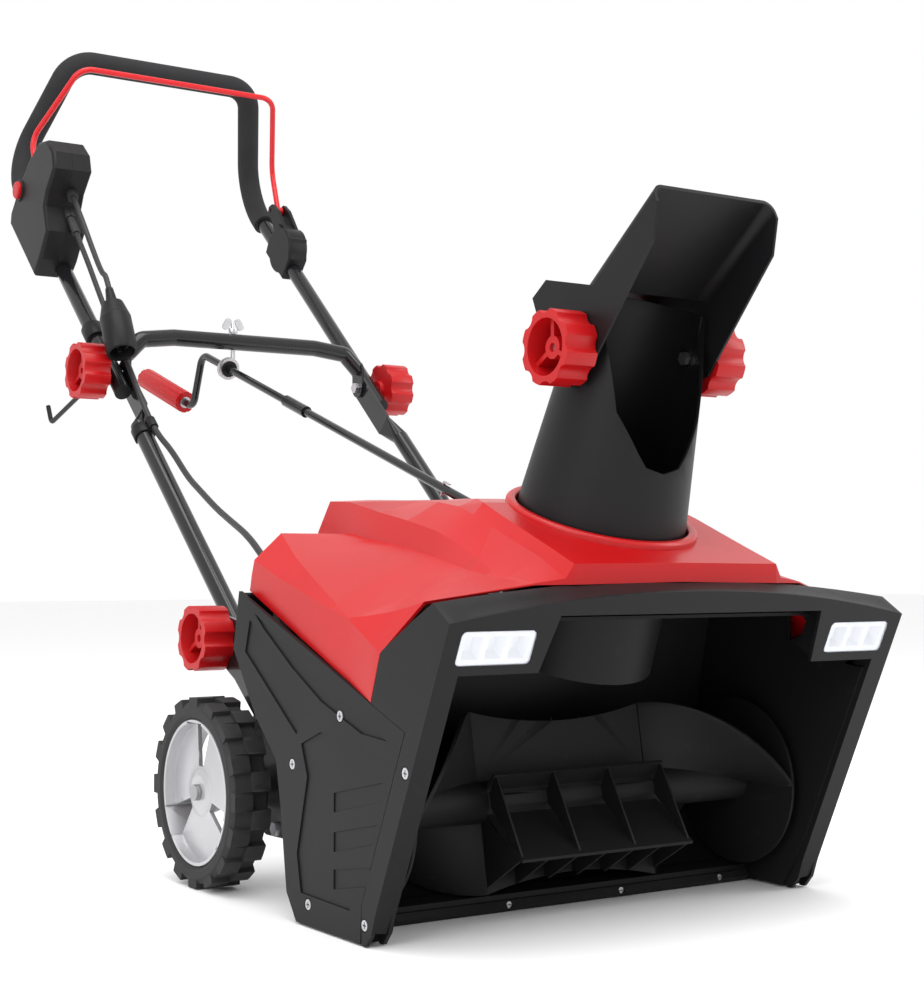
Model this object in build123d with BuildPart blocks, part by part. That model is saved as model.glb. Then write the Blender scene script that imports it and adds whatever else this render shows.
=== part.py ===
"""Corded single-stage snow thrower: wheeled body, paddle auger, turning chute, folding handle.

Frame: +Z up, the intake faces -Y, X runs left to right, and the origin is the middle of
the scraper bar's underside, on the ground. All sizes are in millimetres.
"""
from math import atan2, cos, degrees, radians, sin, tan
import os

from build123d import *

os.makedirs("parts", exist_ok=True)

# ---- driving dimensions -------------------------------------------------------------
width = 540.0                # outside of one side cover to outside of the other
cover_wall = 4.0             # side covers and bezel
shell_wall = 3.0             # moulded housing, pan and hood
strip_width = 22.0           # front face of each upright of the bezel
seam_gap = 0.5               # daylight left along the seams between mouldings
side_gap = 0.3               # between stacked mouldings across the machine

auger_y, auger_z = -2.0, 108.0
auger_radius = 88.0          # paddle tips and flights
auger_bore_radius = 10.0     # the drive shaft
scoop_radius = 92.0          # inside of the housing behind the auger
paddle_half = 105.0          # the middle section, each side of the centre
flight_end = 232.0           # outer face of the end discs

chute_tilt = 19.5            # the chute turns on an axis that leans forward
chute_base = Vector(0, -65.5, 391.5)
chute_radius = 83.5          # outside of the tube at its base
chute_top_radius = 61.5
chute_height = 203.0
chute_wall = 2.8
pivot_height = 158.0         # deflector bolts, up the chute's axis

wheel_radius = 99.7
wheel_width = 43.0
wheel_y = 280.0
wheel_outer = 276.0          # outer face of each tyre
rim_radius = 76.5
axle_radius = 6.0

tube_radius = 11.0
tube_wall = 1.5
tube_half_spacing = 191.0    # centre lines of the two handle tubes
tube_lean = 48.6             # from the vertical, backwards
hinge_y, hinge_z = 705.0, 586.0   # upper knobs: the handle folds about this axis
grip_radius = 16.0
knob_radius = 36.0
knob_depth = 35.0
bolt_radius = 4.0

run_fit = 0.06               # radial play of what turns on a pin or a shaft
slip = 0.3                   # play of what slides past or nests loosely
cord_radius = 3.6            # motor cable and plug cord

half_width = width / 2
cover_inner = half_width - cover_wall
housing_half = 247.7         # outside of the auger housing's end plates


# ---- small tools --------------------------------------------------------------------
def write(builder, name):
    """Label a finished piece and save it as one node."""
    builder.part.label = name
    export_step(builder.part, f"parts/{name}.step")


def side_plane(x):
    """Plane across the machine at x, drawn in (y, z), with its normal along +X."""
    return Plane.YZ.offset(x)


def axis_plane(origin, direction, across=(1, 0, 0)):
    """Plane square to a direction, keeping one in-plane direction."""
    return Plane(origin=origin, x_dir=across, z_dir=direction)


lean = radians(tube_lean)
tube_dir = Vector(0, sin(lean), cos(lean))
tube_front = Vector(0, -cos(lean), sin(lean))     # square to the tube, forward and up


def on_tube(along, x=0.0, front=0.0):
    """A point beside the handle tubes, measured up them from the upper knobs."""
    point = Vector(x, hinge_y, hinge_z) + tube_dir * along + tube_front * front
    return point


tilt = radians(chute_tilt)
chute_axis = Vector(0, -sin(tilt), cos(tilt))
chute_rear = Vector(0, cos(tilt), sin(tilt))


def on_chute(up, rear=0.0, x=0.0):
    """A point measured up the chute's axis and square to it."""
    return chute_base + chute_axis * up + chute_rear * rear + Vector(x, 0, 0)


def chute_plane(up):
    return axis_plane(on_chute(up), chute_axis)


def rod(start, end, radius):
    """A round bar between two points, to be used inside a part."""
    direction = end - start
    with BuildSketch(Plane(origin=start, z_dir=direction), mode=Mode.PRIVATE) as section:
        Circle(radius)
    extrude(section.sketch, amount=direction.length)


# ---- front bezel --------------------------------------------------------------------
# The intake's front face leans forward. Its plane is given by where it meets the ground
# and the top corner of the side.
face_foot_y = -70.7
face_top_y, face_top_z = -204.0, 290.0
face_lean = atan2(face_foot_y - face_top_y, face_top_z)
face_plane = Plane(origin=(0, face_foot_y, 0), x_dir=(1, 0, 0),
                   z_dir=(0, -cos(face_lean), -sin(face_lean)))


def face_y(z):
    """Y of the leaning front face at a height."""
    return face_foot_y - z * tan(face_lean)


def up_face(z):
    """Distance up the leaning face for a height."""
    return z / cos(face_lean)


strip_depth = 26.0           # how far back the uprights reach along the side
opening_top = 295.0          # height of the intake opening between the lamps
lamp_inner, lamp_outer = 160.0, 262.0
lamp_bottom = 245.0
arch_centre, arch_side = 329.0, 293.0   # top of the bezel where it meets the hood

# Where the red hood meets the black bezel, seen from the side
hood_front = [(-76, 216), (-92, 261), (-127, 306), (-150, 331), (-153, 380)]
cover_top_slope = (312 - 216) / (183 + 76)


def cover_top(y):
    """Height of the seam under the red hood."""
    return 216 + (y + 76) * cover_top_slope


def arch_section(y, centre, side, inset):
    """Outline of the bezel's arched top at one place along Y."""
    half = half_width - inset
    with BuildSketch(Plane(origin=(0, y, 0), x_dir=(1, 0, 0), z_dir=(0, -1, 0))) as outline:
        with BuildLine():
            ThreePointArc((-half, side - inset), (0, centre - inset), (half, side - inset))
            Polyline((half, side - inset), (half, 150), (-half, 150), (-half, side - inset))
        make_face()
    return outline.sketch


arch_stations = [(-226, 312, 276), (-178, 325, 307), (-150, arch_centre, arch_side),
                 (-70, arch_centre, 250)]

with BuildPart() as arch_inside:
    loft([arch_section(y, c, s, cover_wall) for y, c, s in arch_stations], ruled=True)

bezel_screws = [(-66, 19), (-134, 160)]    # in each upright

with BuildPart() as lamp_pockets:
    # Two recesses in the leaning face, for the lamps
    with BuildSketch(face_plane.offset(1)):
        with Locations((-215.5, up_face(268)), (215.5, up_face(268))):
            RectangleRounded(78, 33, 5)
    extrude(amount=-26)

with BuildPart() as front_bezel:
    loft([arch_section(y, c, s, 0) for y, c, s in arch_stations], ruled=True)
    add(arch_inside.part, mode=Mode.SUBTRACT)
    # Nothing stands in front of the leaning face
    with BuildSketch(side_plane(-300)):
        Polygon((face_y(0), 0), (face_y(400), 400), (-400, 400), (-400, 0), align=None)
    extrude(amount=600, mode=Mode.SUBTRACT)
    # The hood's front edge and the side covers' top edge bound it behind and below
    with BuildSketch(side_plane(-300)):
        rear = [(y - seam_gap, z - seam_gap) for y, z in hood_front]
        Polygon(*rear, (60, 380), (60, 216), align=None)
    extrude(amount=600, mode=Mode.SUBTRACT)
    with BuildSketch(side_plane(-300)):
        Polygon((-300, 100), (100, 100), (100, cover_top(100) + seam_gap),
                (-300, cover_top(-300) + seam_gap), align=None)
    extrude(amount=600, mode=Mode.SUBTRACT)
    # Front face: uprights, lamp pods and the arched brow
    with BuildSketch(face_plane):
        with BuildLine():
            ThreePointArc((-half_width, up_face(290)), (0, up_face(315)),
                          (half_width, up_face(290)))
            Polyline((half_width, up_face(290)), (half_width, 32), (half_width - 6, 14),
                     (half_width - strip_width, 12),
                     (half_width - strip_width, up_face(lamp_bottom)),
                     (lamp_inner + 4, up_face(lamp_bottom)),
                     (lamp_inner - 4, up_face(opening_top)),
                     (4 - lamp_inner, up_face(opening_top)),
                     (-lamp_inner - 4, up_face(lamp_bottom)),
                     (strip_width - half_width, up_face(lamp_bottom)),
                     (strip_width - half_width, 12), (6 - half_width, 14),
                     (-half_width, 32), (-half_width, up_face(290)))
        make_face()
    extrude(amount=-cover_wall)
    # Outer and inner returns of the uprights
    for side in (-1, 1):
        for outer, wall in ((half_width, cover_wall), (half_width - strip_width + 4, 4)):
            x0 = side * outer if side < 0 else side * outer - wall
            with BuildSketch(side_plane(x0)):
                with BuildLine():
                    Polyline((face_y(200), 200), (face_y(30), 30), (-78, 12), (-68, 0.6),
                             (-61.5, 0.6), (face_y(36) + strip_depth, 36),
                             (face_y(200) + strip_depth, 200), (face_y(200), 200))
                make_face()
            extrude(amount=wall)
        for outer in (half_width - strip_width,):
            x0 = side * outer if side > 0 else side * outer - 4
            with BuildSketch(side_plane(x0)):
                Polygon((face_y(190), 190), (face_y(292), 292), (face_y(292) + 20, 292),
                        (face_y(190) + strip_depth, 190), align=None)
            extrude(amount=4)
        # Lamp pod: a box behind the face, open to the rear
        x0 = side * (lamp_inner + lamp_outer) / 2
        with BuildSketch(face_plane.offset(-cover_wall)):
            with Locations((x0, up_face(268))):
                Rectangle(lamp_outer - lamp_inner - 22, 46)
                Rectangle(lamp_outer - lamp_inner - 28, 40, mode=Mode.SUBTRACT)
        extrude(amount=-24)
    add(lamp_pockets.part, mode=Mode.SUBTRACT)
    # Counterbored screw holes in the outer returns
    for side in (-1, 1):
        for y, z in bezel_screws:
            for radius, depth in ((6.0, 2.0), (2.3, 8.0)):
                with BuildSketch(side_plane(side * half_width)):
                    with Locations((y, z)):
                        Circle(radius)
                extrude(amount=-side * depth, mode=Mode.SUBTRACT)
    split(bisect_by=Plane.XY.offset(0.5), keep=Keep.TOP)
write(front_bezel, "front_bezel")

with BuildPart() as lamp_reflectors:
    # White trays, each with three square reflector cups
    for side in (-1, 1):
        with BuildSketch(face_plane.offset(-1.5)):
            with Locations((side * 215.5, up_face(268))):
                RectangleRounded(76.8, 31.8, 4.5)
        extrude(amount=-14)
        for step in (-1, 0, 1):
            with BuildSketch(face_plane.offset(-1.5)):
                with Locations((side * 215.5 + step * 24, up_face(268))):
                    RectangleRounded(19, 22, 2)
            extrude(amount=-10, taper=24, mode=Mode.SUBTRACT)
write(lamp_reflectors, "lamp_reflectors")

with BuildPart() as lamp_lenses:
    for side in (-1, 1):
        with BuildSketch(face_plane):
            with Locations((side * 215.5, up_face(268))):
                RectangleRounded(76.8, 31.8, 4.5)
        extrude(amount=-1.4)
write(lamp_lenses, "lamp_lenses")

# ---- side covers --------------------------------------------------------------------
# Outline of a side cover, from its top rear corner round to the seam beside the bezel
cover_rear = [(184, cover_top(184)), (196, 254), (146, 188.5), (103, 150.5), (93, 106), (80.5, 27),
              (61, 1.5)]


def seam_y(z):
    """Y of the seam between a side cover and the bezel's upright."""
    return face_y(z) + strip_depth + seam_gap


cover_front = [(seam_y(36) + 2, 1.5), (seam_y(36), 36), (seam_y(194), cover_top(seam_y(194)))]


def cover_outline(inset=0.0):
    """Closed outline of a side cover, optionally drawn inside itself."""
    points = cover_rear + cover_front
    with BuildSketch(Plane.XY) as outline:
        Polygon(*points, align=None)
        if inset:
            offset(amount=-inset, mode=Mode.REPLACE)
    return outline.sketch


relief = 1.6                 # depth of the moulded pattern in each side cover
screw_places = [(-21, 201), (70, 149), (38, 21)]      # in each side cover
screw_head = 5.0


def side_cover(side):
    """A tray: a plate with its moulded pattern and a rim towards the body."""
    outer = side * half_width
    inward = -side
    outline = cover_outline()
    with BuildPart() as cover:
        with BuildSketch(side_plane(outer)):
            add(outline)
        extrude(amount=inward * cover_wall)
        with BuildSketch(side_plane(outer)):
            # Rear and lower rim, left open to the front
            add(outline)
            add(cover_outline(shell_wall), mode=Mode.SUBTRACT)
            Polygon((-400, 40), (seam_y(40) + 8, 40), (seam_y(190) + 30, 186),
                    (60, 262), (176, 303), (300, 420), (-400, 420), align=None,
                    mode=Mode.SUBTRACT)
        extrude(amount=inward * 51)
        # The rim is only as deep as the housing's end plate allows
        with BuildSketch(side_plane(side * (housing_half + slip))):
            Polygon((-140, -5), (-140, 190), (93, 190), (107, 153), (96, -5), align=None)
        extrude(amount=inward * 60, mode=Mode.SUBTRACT)
        # Upper triangular recess, scoop and three slanted louvres
        with BuildSketch(side_plane(outer)):
            Polygon((160, 284), (170, 252), (62, 178), (39, 196), (35, 208), (92, 244),
                    align=None)
            Polygon((150, 291), (28, 240), (-60, 203), (-104, 185), (-60, 188), (14, 212),
                    (70, 240), (130, 276), align=None)
            Polygon((-112, 168), (-60, 174), (14, 184), (52, 170), (40, 140), (60, 66),
                    (52, 30), (-40, 28), (-78, 88), align=None)
        extrude(amount=inward * relief, mode=Mode.SUBTRACT)
        for low, high in ((42, 62), (76, 100), (112, 138)):
            with BuildSketch(side_plane(outer)):
                Polygon((-8, low), (-8, low + 18), (-66 - low * 0.25, high + 10),
                        (-62 - low * 0.25, high - 8), align=None)
            extrude(amount=inward * (relief + 1.2), mode=Mode.SUBTRACT)
        for y, z in screw_places:
            with BuildSketch(side_plane(outer)):
                with Locations((y, z)):
                    Circle(screw_head + 1)
            extrude(amount=inward * 2, mode=Mode.SUBTRACT)
            with BuildSketch(side_plane(outer)):
                with Locations((y, z)):
                    Circle(2.3)
            extrude(amount=inward * (cover_wall + 1), mode=Mode.SUBTRACT)
    return cover


left_side_cover = side_cover(-1)
write(left_side_cover, "left_side_cover")
right_side_cover = side_cover(1)
write(right_side_cover, "right_side_cover")

# ---- auger housing ------------------------------------------------------------------
# One moulding: a scoop behind the auger, a ramp up to the throat, a ceiling, two end plates
scoop_exit = 12.0            # degrees above level where the scoop runs into the ramp
throat_rear = Vector(0, 54, 286)
ceiling_front = Vector(0, -184, 290)
throat_radius = 77.2         # inside of the stub that the chute turns on


def scoop_point(radius, angle):
    return (auger_y + radius * cos(radians(angle)), auger_z + radius * sin(radians(angle)))


pod_rear = -150.0            # the lamp pods reach back to here
end_plate = [(seam_y(36) + 4, 3), (58, 3), (77, 28), (89, 106), (91, 128),
             (58, 289.5), (pod_rear, 292), (pod_rear, 239), (face_y(236) + 6, 236),
             (face_y(60) + 6, 60), (face_y(30) + 8, 30)]
pod_half = 158.0             # the lamp pods take the corners of the ceiling outside this

with BuildPart() as above_arch:
    # Room that the bezel's arched top takes, with its gap
    with BuildSketch(side_plane(-300)):
        Polygon((-226, 151), (-70, 151), (-70, 400), (-226, 400), align=None)
    extrude(amount=600)
    loft([arch_section(y, c, s, cover_wall + seam_gap) for y, c, s in arch_stations],
         ruled=True, mode=Mode.SUBTRACT)

with BuildPart() as auger_housing:
    length = 2 * housing_half - 2 * shell_wall
    with BuildSketch(side_plane(-length / 2)):
        with BuildLine():
            inner = scoop_radius
            outer = scoop_radius + shell_wall
            CenterArc((auger_y, auger_z), inner, -88, 88 + scoop_exit)
            Polyline(scoop_point(inner, scoop_exit), (throat_rear.Y, throat_rear.Z),
                     (ceiling_front.Y, ceiling_front.Z),
                     (ceiling_front.Y, ceiling_front.Z + shell_wall),
                     (throat_rear.Y + shell_wall, throat_rear.Z + shell_wall),
                     scoop_point(outer, scoop_exit))
            CenterArc((auger_y, auger_z), outer, scoop_exit, -88 - scoop_exit)
            Line(scoop_point(outer, -88), scoop_point(inner, -88))
        make_face()
    extrude(amount=length)
    # Flat to which the scraper bar is screwed
    with BuildSketch(side_plane(-length / 2)):
        Polygon((-1, 11.2), (18, 11.2), (34, 20), (16, 20), (-1, 16.5), align=None)
    extrude(amount=length)
    for x0 in (-housing_half, housing_half - shell_wall):
        with BuildSketch(side_plane(x0)):
            Polygon(*end_plate, align=None)
            with Locations((auger_y, auger_z)):
                Circle(21, mode=Mode.SUBTRACT)
        extrude(amount=shell_wall)
    # Corners of the ceiling taken by the lamp pods
    for side in (-1, 1):
        with BuildSketch(side_plane(side * pod_half)):
            Polygon((-260, 239), (pod_rear, 239), (pod_rear, 330), (-260, 330), align=None)
        extrude(amount=side * 120, mode=Mode.SUBTRACT)
    add(above_arch.part, mode=Mode.SUBTRACT)
    # Throat stub, cut clear inside
    with BuildSketch(chute_plane(-150)):
        Circle(throat_radius + shell_wall)
    extrude(amount=142)
    with BuildSketch(chute_plane(-175)):
        Circle(throat_radius)
    extrude(amount=200, mode=Mode.SUBTRACT)
    # Keep the scoop and the ramp whole where the cut ran into them
    with BuildSketch(side_plane(-length / 2)):
        with BuildLine():
            CenterArc((auger_y, auger_z), inner, -88, 88 + scoop_exit)
            Polyline(scoop_point(inner, scoop_exit), (throat_rear.Y, throat_rear.Z),
                     (throat_rear.Y + shell_wall, throat_rear.Z + 1),
                     scoop_point(outer, scoop_exit))
            CenterArc((auger_y, auger_z), outer, scoop_exit, -88 - scoop_exit)
            Line(scoop_point(outer, -88), scoop_point(inner, -88))
        make_face()
    extrude(amount=length)
write(auger_housing, "auger_housing")

scraper_screws = (-204.0, -70.0, 70.0, 204.0)
scraper_screw_z = 6.5

with BuildPart() as scraper_bar:
    # Replaceable plastic edge that rides on the ground, with screw lugs
    with BuildSketch(side_plane(-244.2)):
        Polygon((-4, 0), (5, 0), (26, 6), (34, 13), (26, 13), (19, 11), (-4, 11), (-8, 5),
                align=None)
    extrude(amount=488.4)
    with BuildSketch(Plane(origin=(0, -3.6, scraper_screw_z), x_dir=(1, 0, 0), z_dir=(0, -1, 0))):
        for x in scraper_screws:
            with Locations((x, 0)):
                Circle(3.5)
    extrude(amount=20, mode=Mode.SUBTRACT)
write(scraper_bar, "scraper_bar")

with BuildPart() as auger_bearings:
    # Flanged bushes in the end plates
    for side in (-1, 1):
        x0 = side * (housing_half - shell_wall - 0.0)
        with BuildSketch(side_plane(side * (housing_half - shell_wall - 2.7))):
            with Locations((auger_y, auger_z)):
                Circle(28)
                Circle(auger_bore_radius + run_fit, mode=Mode.SUBTRACT)
        extrude(amount=side * 2.6)
        with BuildSketch(side_plane(x0 - side * 0.1)):
            with Locations((auger_y, auger_z)):
                Circle(20.8)
                Circle(auger_bore_radius + run_fit, mode=Mode.SUBTRACT)
        extrude(amount=side * 5)
write(auger_bearings, "auger_bearings")

# ---- auger --------------------------------------------------------------------------
hub_radius = 20.0
blade = 3.6
tip_angle, web_angle = 212.0, 260.0      # degrees round the auger, 0 to the rear
short_angle, short_radius = 133.0, 41.0
auger_centre = Vector(0, auger_y, auger_z)


def auger_point(radius, angle):
    """(y, z) of a point round the auger."""
    return (auger_y + radius * cos(radians(angle)), auger_z + radius * sin(radians(angle)))


def blade_sketch(angle, inner, outer):
    """A radial blade's section, drawn in (y, z)."""
    middle = auger_point((inner + outer) / 2, angle)
    with Locations(Location(middle, angle)):
        Rectangle(outer - inner, blade)


with BuildPart() as auger_paddle:
    with BuildSketch(side_plane(-paddle_half)):
        with Locations((auger_y, auger_z)):
            Circle(hub_radius)
    extrude(amount=2 * paddle_half)
    for turn in (0, 180):
        with BuildSketch(side_plane(-paddle_half)):
            blade_sketch(tip_angle + turn, hub_radius - 2, auger_radius)
            blade_sketch(short_angle + turn, hub_radius - 2, short_radius)
        extrude(amount=2 * paddle_half)
        # The web between the blade and the ground is hollowed in the middle
        with BuildSketch(side_plane(-paddle_half)):
            blade_sketch(web_angle + turn, hub_radius - 2, auger_radius)
        extrude(amount=2 * paddle_half)
        root = auger_point(hub_radius - 6, (tip_angle + web_angle) / 2 + turn)
        for i in range(-3, 4):
            with BuildSketch(side_plane(i * (paddle_half - 1.2) / 3 - 1.2)):
                Polygon(root, auger_point(auger_radius - 2, tip_angle + turn),
                        auger_point(auger_radius - 6, web_angle + turn), align=None)
            extrude(amount=2.4)
        root = auger_point(hub_radius - 6, (tip_angle + short_angle) / 2 + turn)
        for i in (-1.5, -0.5, 0.5, 1.5):
            with BuildSketch(side_plane(i * 68 - 1.2)):
                Polygon(root, auger_point(short_radius, short_angle + turn),
                        auger_point(auger_radius - 1, tip_angle + turn), align=None)
            extrude(amount=2.4)
        # Concave free edge of the web
        dip = 13.0
        sagitta_radius = (paddle_half ** 2 + dip ** 2) / (2 * dip)
        middle = auger_point(auger_radius - dip + sagitta_radius, web_angle + turn)
        web_plane = Plane(origin=(0, middle[0], middle[1]), x_dir=(1, 0, 0),
                          z_dir=(0, -sin(radians(web_angle + turn)),
                                 cos(radians(web_angle + turn))))
        with BuildSketch(web_plane.offset(-8)):
            Circle(sagitta_radius)
            Circle(sagitta_radius - 40, mode=Mode.SUBTRACT)
            Rectangle(2 * paddle_half + 4, 3 * sagitta_radius, mode=Mode.INTERSECT)
        extrude(amount=16, mode=Mode.SUBTRACT)
    with BuildSketch(side_plane(-paddle_half - 1)):
        with Locations((auger_y, auger_z)):
            Circle(auger_bore_radius)
    extrude(amount=2 * paddle_half + 2, mode=Mode.SUBTRACT)
write(auger_paddle, "auger_paddle")

flight_pitch = 460.0


def auger_flight(side):
    """Two helical flights, an end disc and their hub, at one end of the auger."""
    length = flight_end - paddle_half
    with BuildPart() as flight:
        for turn in (0, 180):
            start = web_angle + turn
            turned = 360 * length / flight_pitch
            middle = (hub_radius - 3 + auger_radius) / 2
            steps = 8
            sections = []
            for i in range(steps + 1):
                angle = start + turned * i / steps
                x = side * (paddle_half + 0.05 + (length - 0.05) * i / steps)
                with BuildSketch(side_plane(x), mode=Mode.PRIVATE) as section:
                    with Locations(Location(auger_point(middle, angle), angle)):
                        Rectangle(auger_radius - hub_radius + 3, 5.4)
                sections.append(section.sketch)
            loft(sections)
        with BuildSketch(side_plane(side * (paddle_half + 0.05))):
            with Locations((auger_y, auger_z)):
                Circle(hub_radius)
        extrude(amount=side * (length - 0.05))
        with BuildSketch(side_plane(side * (flight_end - 3))):
            with Locations((auger_y, auger_z)):
                Circle(auger_radius)
        extrude(amount=side * 3)
        with BuildSketch(side_plane(side * paddle_half)):
            with Locations((auger_y, auger_z)):
                Circle(auger_bore_radius)
        extrude(amount=side * (length + 5), mode=Mode.SUBTRACT)
    return flight


left_auger_flight = auger_flight(-1)
write(left_auger_flight, "left_auger_flight")
right_auger_flight = auger_flight(1)
write(right_auger_flight, "right_auger_flight")

belt_x = -257.0              # middle of the drive belt, behind the left cover
belt_width = 9.0
auger_pulley_radius = 52.0
motor_pulley_radius = 17.0
belt_thickness = 3.0

with BuildPart() as auger_shaft:
    with BuildSketch(side_plane(belt_x - 7)):
        with Locations((auger_y, auger_z)):
            Circle(auger_bore_radius)
    extrude(amount=housing_half - belt_x + 7 + 6)
write(auger_shaft, "auger_shaft")


def pulley(name, y, z, radius, bore):
    """A flat-belt pulley with a low flange each side, on the belt's line."""
    with BuildPart() as wheel:
        with BuildSketch(side_plane(belt_x - belt_width / 2 - 1.5)):
            with Locations((y, z)):
                Circle(radius)
        extrude(amount=belt_width + 3)
        for x0 in (belt_x - belt_width / 2 - 2, belt_x + belt_width / 2 + 0.5):
            with BuildSketch(side_plane(x0)):
                with Locations((y, z)):
                    Circle(radius + 2.2)
            extrude(amount=1.5)
        if radius > 40:
            with BuildSketch(side_plane(belt_x - 10)):
                with Locations((y, z)):
                    with PolarLocations(radius * 0.62, 5):
                        Circle(radius * 0.2)
            extrude(amount=20, mode=Mode.SUBTRACT)
        if bore:
            with BuildSketch(side_plane(belt_x - 12)):
                with Locations((y, z)):
                    Circle(bore)
            extrude(amount=24, mode=Mode.SUBTRACT)
    write(wheel, name)
    return wheel


motor_y, motor_z = 128.0, 268.0
motor_radius = 38.0
auger_pulley = pulley("auger_pulley", auger_y, auger_z, auger_pulley_radius,
                      auger_bore_radius)
motor_pulley = pulley("motor_pulley", motor_y, motor_z, motor_pulley_radius, 4 + run_fit)

with BuildPart() as drive_belt:
    # Open belt: two straight runs tangent to both pulleys
    span = Vector(motor_y - auger_y, motor_z - auger_z, 0)
    along = atan2(span.Y, span.X)
    opening = atan2(auger_pulley_radius - motor_pulley_radius, span.length)

    def belt_outline(grow):
        big, small = auger_pulley_radius + grow, motor_pulley_radius + grow
        with BuildSketch(Plane.XY) as outline:
            with Locations((auger_y, auger_z)):
                Circle(big)
            with Locations((motor_y, motor_z)):
                Circle(small)
            corners = []
            for turn in (1, -1):
                angle = along + turn * (radians(90) - opening)
                corners.append([(auger_y + big * cos(angle), auger_z + big * sin(angle)),
                                (motor_y + small * cos(angle), motor_z + small * sin(angle))])
            Polygon(corners[0][0], corners[0][1], corners[1][1], corners[1][0], align=None)
        return outline.sketch

    with BuildSketch(side_plane(belt_x - belt_width / 2)):
        add(belt_outline(belt_thickness + 0.1))
        add(belt_outline(0.1), mode=Mode.SUBTRACT)
    extrude(amount=belt_width)
write(drive_belt, "drive_belt")

motor_face = -housing_half + 3.5         # the motor is bolted inside the left end plate
with BuildPart() as drive_motor:
    with BuildSketch(side_plane(motor_face)):
        with Locations((motor_y, motor_z)):
            Circle(motor_radius)
    extrude(amount=150)
    with BuildSketch(side_plane(motor_face + 30)):
        with Locations((motor_y, motor_z)):
            Circle(motor_radius + 1)
            with PolarLocations(motor_radius, 12):
                Rectangle(5, 4, mode=Mode.SUBTRACT)
            Circle(motor_radius - 3, mode=Mode.SUBTRACT)
    extrude(amount=90)
    with BuildSketch(side_plane(belt_x - belt_width / 2 - 4)):
        with Locations((motor_y, motor_z)):
            Circle(4)
    extrude(amount=motor_face - belt_x + belt_width / 2 + 10)
write(drive_motor, "drive_motor")

# ---- chute gear and crank line ------------------------------------------------------
# The crank's rod passes under the chute's ring of teeth and up to an eye on the crossbar.
crown_teeth, pinion_teeth = 60, 8
crown_radius = 90.0                      # pitch radius of the ring of teeth
pinion_radius = crown_radius * pinion_teeth / crown_teeth
rod_height = -61.0                       # the crank rod's line, down the chute's axis
tooth_depth = 4.5
flange_bottom = rod_height + pinion_radius + 2.5
flange_radius = crown_radius + 6
chute_taper = (chute_radius - chute_top_radius) / chute_height
rod_start = on_chute(rod_height)
grommet = Vector(-25, 711, 602)
rod_dir = (grommet - rod_start).normalized()
rod_radius = 5.0


def on_rod(along):
    return rod_start + rod_dir * along


rod_plane_x = Vector(1, 0, 0) - rod_dir * rod_dir.X
rod_plane_x = rod_plane_x.normalized()


def rod_plane(along):
    return Plane(origin=on_rod(along), x_dir=rod_plane_x, z_dir=rod_dir)

# ---- top hood -----------------------------------------------------------------------
# Half sections of the hood's outside, from the side seam up to the middle, at stations
# along Y. Every section has the same corners, so the walls run through.
hood_stations = [
    (-170, [(270, 246), (246, 312), (150, 325), (125, 328), (105, 330), (0, 332)]),
    (-140, [(269, 256), (246, 308), (150, 327), (125, 331), (100, 351), (0, 354)]),
    (-31, [(264, 287), (247, 304), (150, 335), (125, 349), (100, 388), (0, 391)]),
    (25, [(262, 302), (243, 323), (151, 347), (127, 368), (82, 408), (0, 410)]),
    (60, [(260, 308), (239, 333), (152, 354), (130, 380), (62, 408), (0, 410)]),
    (113, [(259, 322), (236, 347), (152, 361), (131, 391), (42, 405), (0, 408)]),
    (184, [(258, 343), (234, 371), (152, 373), (134, 401), (36, 404), (0, 406)]),
]


def hood_section(y, corners, inset):
    """One closed section of the hood, outside or drawn in by the wall."""
    start = (half_width, cover_top(y) - 6)
    half = [start] + corners
    scale = (half_width - inset) / half_width
    right = [(x * scale, z - inset if x < 269 else z) for x, z in half]
    left = [(-x, z) for x, z in reversed(right[:-1])]
    with BuildSketch(Plane(origin=(0, y, 0), x_dir=(1, 0, 0), z_dir=(0, -1, 0))) as outline:
        Polygon(*(right + left), align=None)
    return outline.sketch


def hood_side(inset):
    """Side view of the hood: its rear shoulders, inside or outside the wall."""
    with BuildSketch(Plane.XY) as outline:
        Polygon((-300, 100), (-300, 500), (150 - inset, 500), (160 - inset, 372),
                (170 - inset, 345), (184 - inset, 313), (184 - inset, 100), align=None)
    return outline.sketch


hump_half = 150.0            # the raised rear middle, over the motor's cooling duct


def hood_hump(inset):
    """Rear middle block of the hood, in front view and side view."""
    half = hump_half - inset
    with BuildPart() as block:
        with BuildSketch(side_plane(-half)):
            Polygon((150, 200), (240 - inset, 200), (240 - inset, 374),
                    (228 - inset, 411 - inset), (150, 407 - inset), align=None)
        extrude(amount=2 * half)
        with BuildSketch(Plane(origin=(0, 300, 0), x_dir=(1, 0, 0), z_dir=(0, -1, 0))):
            Polygon((-half, 100), (half, 100), (half, 372 - inset), (half - 16, 406 - inset),
                    (half - 60, 413), (60 - half, 413), (16 - half, 406 - inset),
                    (-half, 372 - inset), align=None)
        extrude(amount=300, mode=Mode.INTERSECT)
    return block.part


def hood_body(inset):
    with BuildPart() as body:
        loft([hood_section(y, corners, inset) for y, corners in hood_stations], ruled=True)
        with BuildSketch(side_plane(-300)):
            add(hood_side(inset))
        extrude(amount=600, mode=Mode.INTERSECT)
        add(hood_hump(inset))
    return body.part


hood_outer = hood_body(0)
hood_inner = hood_body(shell_wall)
ring_outer = 95.5
ring_bore = chute_radius + 2.0

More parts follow.
